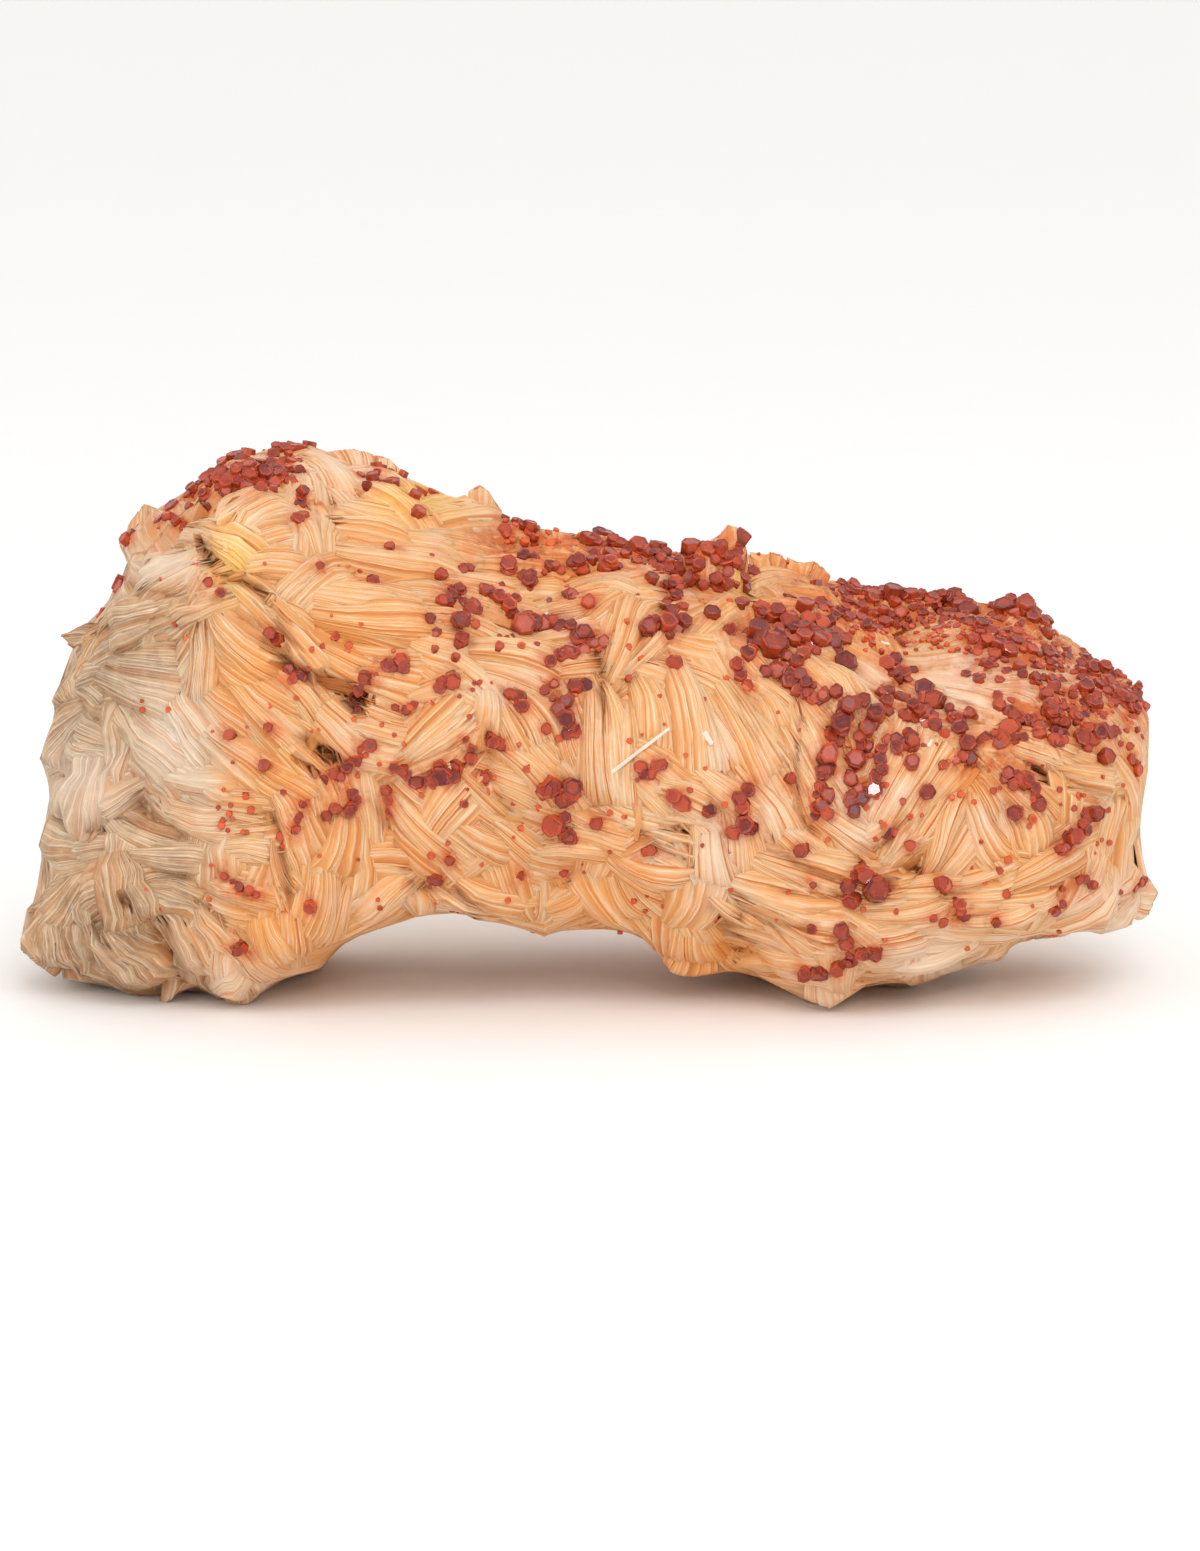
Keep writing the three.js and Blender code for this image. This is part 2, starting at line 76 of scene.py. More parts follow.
# The lump's cross-sections from left to right: x, bottom, top, front, back, rise towards the back.
SECTIONS = np.array([
    [-91, 10, 15, -8, 2, 0],
    [-87, 4, 30, -17, 12, 0],
    [-83, 3, 50, -21, 17, 0],
    [-76, 0, 62, -27, 23, 0.05],
    [-68, -4, 76, -30, 27, 0.05],
    [-56, -5, 84, -34, 31, 0.05],
    [-44, 3, 84, -36, 33, 0.05],
    [-28, 11, 75.5, -36, 34, 0.08],
    [-12, 11, 72, -35, 34, 0.1],
    [6, 9, 67, -35, 34, 0.12],
    [20, 4, 65, -35, 33, 0.14],
    [36, -5, 60, -35, 33, 0.2],
    [52, 1, 56, -34, 32, 0.22],
    [68, 7, 54, -31, 29, 0.2],
    [79, 9, 51, -25, 24, 0.12],
    [86, 11, 47, -16, 15, 0.05],
    [90, 22, 42, -5, 5, 0],
])
SECTION_POWER = 2.6
LUMPINESS = 0.07
COARSE_LUMP = (16, 18)
FINE_LUMP = (160, 180)
CORE_SINK = 1.7

# Sheaves of barite blades on the front face: x and height as sighted, the way the blades run
# in degrees from +X, length, width, and the turn of the blades on the way.
FRONT_SHEAVES = [
    # upper left: the peak, its shoulder and the left flank
    (-54, 78, 65, 18, 14, 0), (-70, 76, 168, 15, 10, 0), (-67, 68, 182, 18, 6, 0),
    (-69, 62, 188, 19, 8, 0), (-81, 60, 178, 9, 5, 0), (-72, 54, 190, 17, 9, 0),
    (-82, 50, 160, 11, 9, 0), (-55, 59, -42, 17, 9, 0), (-45, 76, 84, 13, 7, 0),
    (-40, 85, 100, 11, 10, 0), (-60, 74, -55, 15, 5, 10),
    # the bowl below the peak and the pale crest beside it
    (-36, 62, -8, 23, 9, 45), (-32, 72, 3, 24, 11, 10), (-34, 84, -25, 18, 9, 0),
    (-18, 82, 75, 8, 6, 0),
    # the left flank down to the left foot
    (-65, 46, -50, 19, 14, 0), (-80, 43, 165, 13, 11, 0), (-80, 33, 142, 13, 7, 0),
    (-64, 31, -12, 20, 8, 20), (-68, 25, -6, 18, 7, 0), (-82, 26, 182, 10, 9, 0),
    (-52, 47, -45, 19, 9, 0), (-55, 26, 0, 13, 7, 0), (-56, 19, -20, 15, 6, 0),
    (-84, 11, 212, 14, 13, 0), (-73, 10, -58, 18, 10, 0), (-57, 6, -86, 11, 8, 0),
    (-51, 12, -82, 13, 11, 0), (-43, 18, -96, 18, 9, 0), (-66, 37, -8, 22, 6, 10),
    (-67, 19, -10, 14, 6, 0), (-49, 24, -80, 15, 6, 10), (-65, 12, -62, 16, 7, 8),
    # the middle, above the arch
    (-32, 19, 218, 18, 9, 0), (-39, 27, -100, 13, 11, 0), (-28, 30, -50, 18, 7, 0),
    (-16, 19, -35, 19, 8, 0), (-18, 28, -35, 18, 7, 0), (-3, 18, 228, 14, 9, 0),
    (5, 19, -72, 14, 8, 0), (-26, 44, 41, 21, 10, 0), (-17, 48, -88, 14, 8, 0),
    (-13, 57, -4, 20, 8, -18), (2, 43, -88, 22, 10, 0), (-10, 38, -45, 17, 7, 0),
    (-19, 36, -50, 17, 7, 0), (-6, 72, 8, 15, 8, 0), (4, 70, 5, 14, 7, 0),
    (5, 59, 68, 20, 9, 0), (0, 74, 90, 8, 10, 0), (10, 72, 90, 8, 10, 0),
    (-4, 26, 0, 19, 6, -20),
    # the spire and the tall fans under it
    (21, 71, 88, 21, 8, 0), (15, 49, -80, 28, 10, 0), (25, 46, -62, 25, 10, 10),
    (34, 39, -65, 19, 9, 0), (12, 35, -15, 18, 8, 0), (9, 24, -20, 18, 7, 0),
    (20, 25, -88, 13, 9, 0),
    # the right foot
    (16, 11, -100, 13, 12, 0), (33, 23, -20, 18, 9, 0), (35, 8, 222, 18, 12, 0),
    (54, 9, -8, 20, 7, 0), (50, 16, 5, 19, 6, 0), (63, 10, -30, 11, 6, 0),
    (22, 16, -50, 14, 6, 0), (34, 16, -14, 20, 6, 0),
    # the dome with its rows of crystals, and the ledge above it
    (50, 36, 60, 25, 18, 12), (40, 51, -60, 16, 9, 0), (34, 66, -15, 17, 8, 0),
    (29, 70, 80, 8, 7, 0), (49, 64, 20, 16, 8, 0), (60, 49, -40, 19, 11, 0),
    (68, 61, 60, 11, 10, 0), (57, 28, 65, 16, 6, 0),
    # the right end
    (63, 29, -58, 14, 7, 0), (72, 22, 25, 20, 8, 0), (83, 29, 62, 15, 8, 0),
    (79, 37, -14, 18, 8, 25), (85, 15, -10, 15, 10, 0), (79, 50, -28, 17, 9, 0),
    (86, 43, -40, 9, 8, 0), (65, 15, 10, 17, 6, 0), (71, 30, -62, 12, 7, 0),
]

# Broad smooth lobes of the left flank and the left foot, in the same terms.
LOBES = [
    (-85, 11, -105, 15, 13, 0), (-74, 9, -66, 17, 11, 0), (-64.5, 11, -70, 17, 9, 0), (-57, 6, -90, 11, 9, 0),
    (-84, 25, 185, 13, 11, 0), (-81, 35, -115, 16, 11, 0), (-83, 45, 205, 13, 11, 0), (-74, 20, -80, 14, 11, 0),
    (-72, 53, -15, 18, 13, 0), (-70, 44, -42, 18, 12, 0), (-72, 63, -168, 16, 10, 0),
]

# Horns that stand out from the outline, in the same terms.
HORNS = [
    (-71.5, 76, 100, 12, 8, 0), (-82, 60.5, 185, 9, 5, 0), (-38, 86, 95, 9, 9, 0),
    (-32, 84.5, 70, 9, 8, 0), (-18, 81, 80, 8, 5, 0), (-5, 75, 90, 6, 9, 0),
    (20.5, 66.5, 87, 23, 12, 0), (16.5, 69, 92, 13, 7, 0), (29, 70, 88, 9, 6, 0),
    (35.5, 69, 80, 8, 8, 0), (69, 63.5, 85, 9, 9, 0), (88, 50, 10, 8, 7, 0),
    (87, 18, -5, 10, 9, 0), (38, 6, -90, 12, 9, 0), (16, 9, -95, 9, 10, 0),
    (-66, 5, -80, 9, 7, 0), (-56, 5, -88, 9, 7, 0), (-86, 10, 200, 9, 10, 0),
]

# The outline that the barite keeps within: x and height as sighted, from the left shoulder round
# by the peak, the right end, the feet and the left flank.
OUTLINE = np.array([
    (-75.5, 74.4), (-73.6, 78.4), (-71.5, 81.3), (-69.1, 80.3), (-68.5, 79.5), (-67.2, 80), (-65.6, 82.4), (-64.3, 83.5),
    (-62.4, 84.2), (-60.2, 86.7), (-56.6, 88.6), (-52.5, 89.1), (-50.9, 90.2), (-47, 90.6), (-44.5, 90.6), (-43.2, 89.6),
    (-38.4, 90.2), (-34.9, 89.3), (-32, 88.3), (-30.4, 86.7), (-29.6, 85.4), (-24, 83.2), (-21.1, 82.1), (-19.2, 83.5),
    (-17.6, 84.5), (-16, 83.2), (-14.9, 81.3), (-12.5, 78.1), (-5.6, 76.8), (-1.9, 75.7), (1.6, 76.5), (4.8, 75.5),
    (8, 75), (11.2, 73.6), (14.1, 72.8), (16, 74.4), (19.8, 74.9), (22.1, 78.1), (23.7, 77.6), (24.8, 75.2),
    (26.6, 71), (28.8, 73.4), (30.4, 73.3), (33.6, 71.7), (36, 72.2), (39.7, 68.8), (44, 67.5), (47.5, 67.5),
    (52, 66.9), (55.7, 66.1), (57.6, 66.9), (59.2, 66.6), (60.2, 65.6), (61.6, 63.4), (63.2, 63), (65.9, 65),
    (69.1, 66.4), (72, 64.3), (74.2, 60.5), (76.5, 60.2), (78.4, 58.6), (81.3, 54.6), (83.5, 54.7), (88, 52.2),
    (88.6, 49.3), (89.6, 46.4), (89.4, 38.4), (88.5, 33.6), (88, 28.8), (85.9, 25.6), (87.5, 22.9), (89.6, 21.3),
    (91.2, 18.7), (89.6, 15.2), (86.4, 13.1), (81.6, 11.7), (79.2, 13.6), (76.5, 11.7), (68, 10.4), (66.1, 7.7),
    (62.4, 7), (57.6, 5.6), (51.5, 3.7), (47.2, 5.9), (44.8, 4.3), (41.6, 2.1), (38.1, -0.3), (33.6, 1.9),
    (28, 4.8), (24.8, 6.7), (19.2, 5.6), (16, 5), (12.8, 5.9), (11.2, 8), (8.8, 11.2), (6.4, 12.5),
    (1.6, 13), (-5.6, 12.5), (-7.2, 11.5), (-12.8, 13.6), (-18.4, 14.4), (-20.8, 15.7), (-22.7, 17.6), (-25.6, 15.2),
    (-32.8, 13.1), (-38.1, 11.7), (-40.8, 9.6), (-42.9, 6.4), (-49.6, 5.1), (-53.1, 2.1), (-55.2, 0.5), (-58.4, 0.3),
    (-61.6, 3.5), (-64.8, 4.3), (-66.9, 1.6), (-68.3, 0.6), (-73.6, 2.4), (-76.8, 4), (-81.6, 4.3), (-85.6, 5.1),
    (-88.8, 7.2), (-91.2, 9.3), (-91.5, 11.2), (-90.1, 16.3), (-87.2, 19.2), (-85.3, 21.9), (-87.7, 25.1), (-88.3, 26.4),
    (-86.7, 32), (-86.4, 36), (-88.3, 40.3), (-86.4, 45.6), (-85.6, 47.2), (-86.4, 49.6), (-84.8, 52.5), (-81.9, 53.6),
    (-82.4, 56.8), (-84.8, 60), (-82.4, 61.3), (-78.4, 63.2), (-76.3, 67.2), (-75.2, 69.1), (-73.6, 69.6), (-74.4, 72),
])
OUTLINE_SOFT = 0.8
ROUND_CENTRE = np.array([0.0, 45.0])
ROUND_SCALE = np.array([92.0, 44.0])
DIRECTIONS = 540
RIM_START = 0.72
RIM_DEPTH = 13.0
MOST_STRETCH = 0.12

FAN_BREADTH = 1.25

# Low sheaves that fill in between the others on the front face.
FILL_X = np.arange(-88, 91, 6.6)
FILL_HEIGHT = np.arange(1, 93, 6.2)
FILL_LENGTH, FILL_WIDTH = (14.0, 24.0), (8.0, 16.0)

# Sheaves on the top, back and underside, spread evenly by a formula: the large ones first.
LARGE_HIDDEN = 34
ALL_HIDDEN = 260
HIDDEN_X = (-87, 88)
LARGE_TURN, SMALL_TURN = (80, 262), (75, 345)
LARGE_LENGTH, LARGE_WIDTH = (20, 30), (14, 22)
SMALL_LENGTH, SMALL_WIDTH = (17, 27), (11, 20)
SPREAD_STEPS = (0.7548776662, 0.569840291)
END_Y, END_Z = np.arange(-24, 30, 8.0), np.arange(8, 66, 8.0)
END_SIZE = ((12.0, 20.0), (9.0, 16.0))
BACK_PITCH = 1.6

# One sheaf of blades, with stations along it from its root to its tip
STATIONS = np.array([0, 0.1, 0.22, 0.36, 0.5, 0.64, 0.78, 0.9, 0.97, 1.0])
EDGE_START, EDGE_ROUND = 0.78, 0.6
ROOT_WIDTH = 0.4
TIP_LIFT = 0.08
BULGE_RADIUS = 45.0
BLADE_LEAN = 0.36
BLADE_TONE = 0.4
SHARP_ANGLE = math.radians(50)
FLOOR_CLEARANCE = 0.02

# Uneven heights all over the barite, most of all on the weathered flank
KNOB_WAVES = 9
KNOB_PITCH = 1.3
PLAIN_KNOBS, FLANK_KNOBS = 0.2, 0.6
LUMP_HEART = np.array([0.0, 0.0, 40.0])

# Pits pressed in between the sheaves and darkened with painted shade: x and height as sighted, length, breadth, way,
# depth.
PITS = [
    (-41.0, 51.9, 3.0, 1.1, -20, 6), (-37.6, 49.6, 2.2, 1.3, 40, 6), (-42.0, 40.9, 2.6, 1.0, 10, 5),
    (-44.6, 38.4, 1.9, 0.9, -35, 5), (31.5, 57.0, 1.1, 0.8, 0, 4), (15.5, 29.1, 1.3, 0.7, 60, 4),
    (15.2, 26.1, 1.3, 0.7, 80, 4), (51.8, 22.7, 1.9, 1.1, -30, 5), (72.0, 37.6, 2.0, 0.8, -60, 5),
    (74.4, 36.3, 1.5, 0.7, -50, 4), (-74.4, 17.1, 1.2, 0.8, 0, 4), (49.6, 48.6, 1.0, 0.7, 0, 3),
]

# Crevices pressed in between sheaves and darkened with painted shade: half breadth, depth, darkness of the painted
# shade, and places as sighted.
CREVICES = [
    (1.1, 2.4, 0.42, [(-62.4, 75.2), (-60.5, 72), (-57.9, 69.6), (-55.2, 68.3), (-52.5, 66.9)]),
    (0.9, 1.6, 0.28, [(-41.9, 81.6), (-41, 79.2), (-40, 77.3)]),
    (1, 1.8, 0.28, [(-52.5, 66.9), (-51.5, 64.8), (-50.2, 61.6), (-48, 59.2)]),
    (1.3, 3, 0.5, [(-49.6, 56), (-46.4, 54.1), (-42.9, 52.8), (-39.2, 52.6), (-37.3, 50.9), (-37.3, 47.4)]),
    (1, 1.8, 0.3, [(-75.2, 69.1), (-72, 67.2), (-68.8, 66.4), (-62.4, 65.6)]),
    (0.9, 1.4, 0.25, [(-78.4, 60.5), (-73.6, 62.1), (-70.4, 62.7), (-65.6, 61.1), (-61.6, 61.6)]),
    (0.9, 1.6, 0.28, [(-64, 84.5), (-63.2, 81.6), (-62.4, 76.8), (-61.9, 74.7)]),
    (0.9, 1.4, 0.22, [(-56.3, 62.4), (-52.5, 59.2), (-48.8, 56.8)]),
    (1.2, 2.6, 0.5, [(-46.4, 44), (-43.5, 41.6), (-40.8, 40.5)]),
    (0.9, 1.4, 0.25, [(-53.6, 49.3), (-49.6, 46.4), (-46.1, 45.1)]),
    (1, 2.2, 0.45, [(1, 56.8), (2.2, 54.4), (1.6, 51.2), (2.6, 47.7)]),
    (0.9, 1.4, 0.22, [(8, 59.5), (8.8, 54.7)]),
    (0.9, 1.4, 0.22, [(23.7, 49.6), (25.6, 44.8), (28.2, 41.3)]),
    (1, 2, 0.3, [(24.6, 72), (25.9, 68), (25, 65)]),
    (1.1, 2.4, 0.4, [(13.5, 73), (12.5, 68), (11.5, 63)]),
    (1, 2.2, 0.5, [(71.4, 39.2), (73, 36.8), (74.6, 37.4)]),
    (1.1, 2.2, 0.4, [(-68.3, 14.1), (-66.4, 9.6), (-64.6, 5.4)]),
    (0.9, 1.6, 0.28, [(-79.4, 17.1), (-78.4, 12.8), (-76.5, 7.7)]),
    (0.9, 1.6, 0.3, [(-62.4, 8.3), (-61.4, 4)]),
    (1.1, 2, 0.36, [(-50.6, 31.2), (-49.3, 24), (-47.8, 16.8)]),
    (0.9, 1.6, 0.3, [(-61.9, 17.1), (-58.4, 13.6), (-55.8, 11.8)]),
    (1, 1.8, 0.3, [(-33.9, 32.3), (-31.2, 25.6), (-28.5, 20.8), (-24, 19.2)]),
    (1, 2, 0.4, [(-21.6, 19.5), (-19.5, 17.3), (-17.3, 15.2)]),
    (0.9, 1.4, 0.25, [(-80.3, 28.5), (-73.9, 30.4), (-68.8, 30.7)]),
    (0.9, 1.6, 0.32, [(-73.6, 35.5), (-71.2, 32.8), (-69.3, 31.5)]),
    (1, 2, 0.4, [(16, 19.5), (19.2, 16), (23.4, 12.6)]),
    (0.9, 1.8, 0.32, [(23.4, 20.8), (24.2, 12.8), (24.5, 7.7)]),
    (0.9, 1.6, 0.3, [(30.1, 19.5), (35.2, 17.6), (40.3, 18.4)]),
    (0.9, 1.6, 0.3, [(24.3, 16.8), (30.4, 13.6), (36.2, 12.8)]),
    (1, 2, 0.42, [(46.1, 18.1), (49.6, 22.1), (52.2, 22.9)]),
    (0.9, 1.4, 0.25, [(57.3, 18.2), (61.6, 19.2), (65.9, 20.8)]),
    (0.9, 1.6, 0.3, [(28.5, 25.9), (33.6, 23.2), (39.7, 20.6)]),
    (0.9, 1.4, 0.25, [(-19.2, 40), (-16, 35.2), (-11.2, 30.4)]),
    (0.9, 1.4, 0.25, [(-24, 49.6), (-19.2, 47.2), (-16, 44)]),
    (0.9, 1.4, 0.25, [(8, 28.8), (11.2, 25.6), (16, 23.7)]),
    (0.9, 1.4, 0.25, [(60.8, 49.6), (61.6, 43.2), (60.5, 38.4)]),
    (0.9, 1.6, 0.3, [(33.6, 47.7), (33.1, 40), (33.6, 31.2), (36, 27.5)]),
    (0.9, 1.4, 0.25, [(75.2, 38.4), (80, 35.2), (86.4, 33.6)]),
    (0.9, 1.4, 0.25, [(43.2, 24), (47.2, 26.4), (49.6, 30.4)]),
]

# Where the barite's colour differs from its peach ground, a few pale spots being painted highlights: kind, x, height as
# sighted, reach along x and up.
ZONES = [
    ("grey", -82, 40, 24, 60), ("grey", -74, 58, 14, 14), ("grey", -80, 10, 22, 22),
    ("grey", -66, 22, 7, 12),
    ("warm", -38, 64, 16, 9), ("warm", -18, 26, 26, 12), ("warm", 72, 30, 16, 14), ("warm", 44, 20, 18, 9),
    ("warm", -46, 38, 8, 14), ("warm", 0, 70, 12, 6),
    ("pale", -67, 71, 9, 3.5), ("pale", -66, 43, 7, 9), ("pale", -80, 36, 6, 8),
    ("pale", -37, 85, 8, 6), ("pale", -56, 4, 8, 5), ("pale", 20, 25, 4, 8), ("pale", 54, 8, 9, 4),
    ("pale", 64, 28, 4, 7), ("pale", 60, 52, 9, 5), ("pale", 85, 15, 9, 6), ("pale", -18, 84, 4, 4),
    # Pale zones are bleached patches, except (21, 41) and (29, 33), which are painted highlights where blade edges
    # glint.
    ("pale", 62, 36, 3, 3), ("pale", 21, 41, 2, 4), ("pale", 29, 33, 2, 6), ("pale", -4, 62, 3, 2),
    ("stain", -58, 73, 4, 7), ("stain", -54, 52, 6, 9), ("stain", -49, 38, 8, 6),
    ("stain", -50, 13, 9, 8), ("stain", 2, 18, 9, 6), ("stain", 19, 8, 9, 6), ("stain", 33, 67, 8, 5),
    ("stain", 62, 37, 5, 4), ("stain", 25, 66, 4, 5), ("stain", -27, 81, 9, 5), ("stain", -6, 72, 9, 4),
    ("stain", -24, 80, 5, 4), ("stain", 66, 24, 6, 5), ("stain", -40, 60, 5, 8), ("stain", 44, 60, 8, 4),
    ("yellow", -28, 82, 8, 4), ("yellow", -57, 72, 3, 6), ("yellow", 25, 67, 3, 4),
    ("rust", -10, 75, 10, 3.5), ("rust", 46, 65, 18, 6), ("rust", 68, 60, 11, 8), ("rust", 83, 51, 11, 8),
    ("rust", 30, 61, 7, 5), ("rust", 66, 39, 5, 3), ("rust", 71, 47, 8, 5),
    ("rust", -56, 86, 8, 3), ("rust", 19, 72, 6, 6), ("rust", 4, 74, 14, 4),
]
ZONE_KINDS = ("grey", "warm", "pale", "stain", "yellow", "rust")

# Rows of vanadinite that are solids of the part: name, places as sighted, crystals, diameter.
CRYSTAL_ROWS = [
    ("peak_crust", [(-46.7, 90), (-50.9, 85.3)], 3, 3),
    ("peak_row", [(-52.5, 85.3), (-58.9, 86.4)], 3, 2.8),
    ("shoulder_crust", [(-61.6, 82.6), (-64, 83.7)], 2, 2.8),
    ("upper_crevice", [(-48.3, 54.4), (-46, 52.8)], 2, 3),
    ("middle_hexagon", [(-23.9, 69.6)], 1, 3.2),
    ("middle_pair", [(-20.9, 67.3), (-22.8, 65.3)], 2, 2.8),
    ("shelf_left", [(-21, 62.4), (-18.9, 64.4)], 2, 3.2),
    ("shelf_row", [(-16.6, 67.2), (-12.3, 64)], 3, 2.8),
    ("shelf_lone", [(-25.6, 62.6)], 1, 3),
    ("upper_middle", [(-13, 70.6), (-9.9, 69)], 2, 3.8),
    ("shelf_great", [(-10.9, 61.3), (-6.7, 62), (-2.4, 60.5), (0.5, 58.9)], 4, 4.2),
    ("ridge_crust", [(-0.3, 75.2), (2.9, 76), (6.7, 74.2), (11.2, 73.6)], 4, 3.6),
    ("ridge_hexagon", [(9.8, 69)], 1, 3.3),
    ("crevice_cluster", [(-32.3, 55.2), (-29.6, 56)], 2, 3.2),
    ("middle_cluster", [(-2.4, 51.5), (-4.5, 48.3), (-3.2, 45)], 3, 3.4),
    ("crevice_wall", [(-36, 53.3), (-37.3, 48.8)], 2, 2.8),
    ("dark_cluster", [(-26.6, 36.3), (-22, 38.4)], 2, 4.4),
    ("double_upper", [(-6.4, 35.7), (-3.4, 34.5)], 2, 4.2),
    ("double_lower", [(-5.9, 29.8), (-3.3, 28)], 2, 3.8),
    ("double_side", [(1.1, 29.8)], 1, 3.1),
    ("spire_crust", [(16.3, 74.4), (20, 73.9), (21.9, 72)], 3, 3.6),
    ("spire_edge", [(14.4, 70.6), (13.4, 67.5), (12.8, 65)], 2, 3),
    ("spire_foot", [(9, 61.3), (12.8, 61.6)], 2, 3.8),
    ("tall_fan_hexagon", [(13.6, 55.5)], 1, 3.3),
    ("spire_hexagon", [(19.5, 63.5)], 1, 3.3),
    ("lip_great", [(26.7, 60), (29, 58)], 2, 4.6),
    ("lip_crust", [(31.8, 62), (34.9, 60.8), (38, 59.5)], 2, 4.4),
    ("lip_hexagon", [(40.5, 55.2)], 1, 3.9),
    ("lip_under", [(30, 54.2), (34.4, 51.5)], 2, 3.4),
    ("dome_outer_row", [(41.3, 48.6), (38.7, 42.9), (37.4, 38), (36.2, 34.4), (37, 31.7)], 5, 3.6),
    ("dome_middle_row", [(47.4, 49.3), (44.2, 45), (42.7, 41.3), (41.6, 36), (42.4, 32.8)], 5, 3.5),
    ("dome_hexagon", [(51.5, 39.5)], 1, 3.5),
    ("dome_lone", [(53.9, 35)], 1, 3.6),
    ("lip_right", [(47.4, 55.5), (50.7, 53.4)], 2, 3.8),
    ("dome_edge", [(57.9, 47), (60.2, 43.5), (60.3, 40)], 3, 3),
    ("back_ridge", [(42, 66.6), (46.4, 66.2), (52.8, 66), (58.4, 66)], 4, 4),
    ("back_notch", [(60.5, 63.6), (63.2, 60.5), (66.4, 57.6)], 2, 3.8),
    ("back_peak", [(66.4, 63.8), (69, 64.4), (72.8, 62)], 2, 4),
    ("slope_row", [(70.7, 57.6), (75.5, 56), (80.8, 54)], 3, 3.4),
    ("far_crust", [(82.4, 52), (87, 49)], 2, 3.4),
    ("far_row", [(78.9, 44), (82.4, 45)], 2, 3.2),
    ("slope_lower", [(63.2, 43.2), (66.9, 43.5), (67.2, 47.7)], 3, 3.4),
    ("right_diagonal", [(66.9, 38), (69.9, 36.5), (71.5, 34)], 2, 3.4),
    ("right_drop", [(68.2, 31.7), (68, 28.3)], 1, 3.5),
    ("right_comb", [(80.3, 31.5), (78, 28.8), (76, 25.6)], 3, 3),
    ("column", [(25, 35.2), (24.2, 32.3), (24.8, 28.5)], 3, 3.5),
    ("lower_cluster", [(41.3, 19.8), (43.5, 22), (45.6, 19.2)], 3, 4.2),
    ("foot_row", [(39.5, 6.8), (42.4, 8.3), (45.6, 9.9)], 3, 3.3),
]

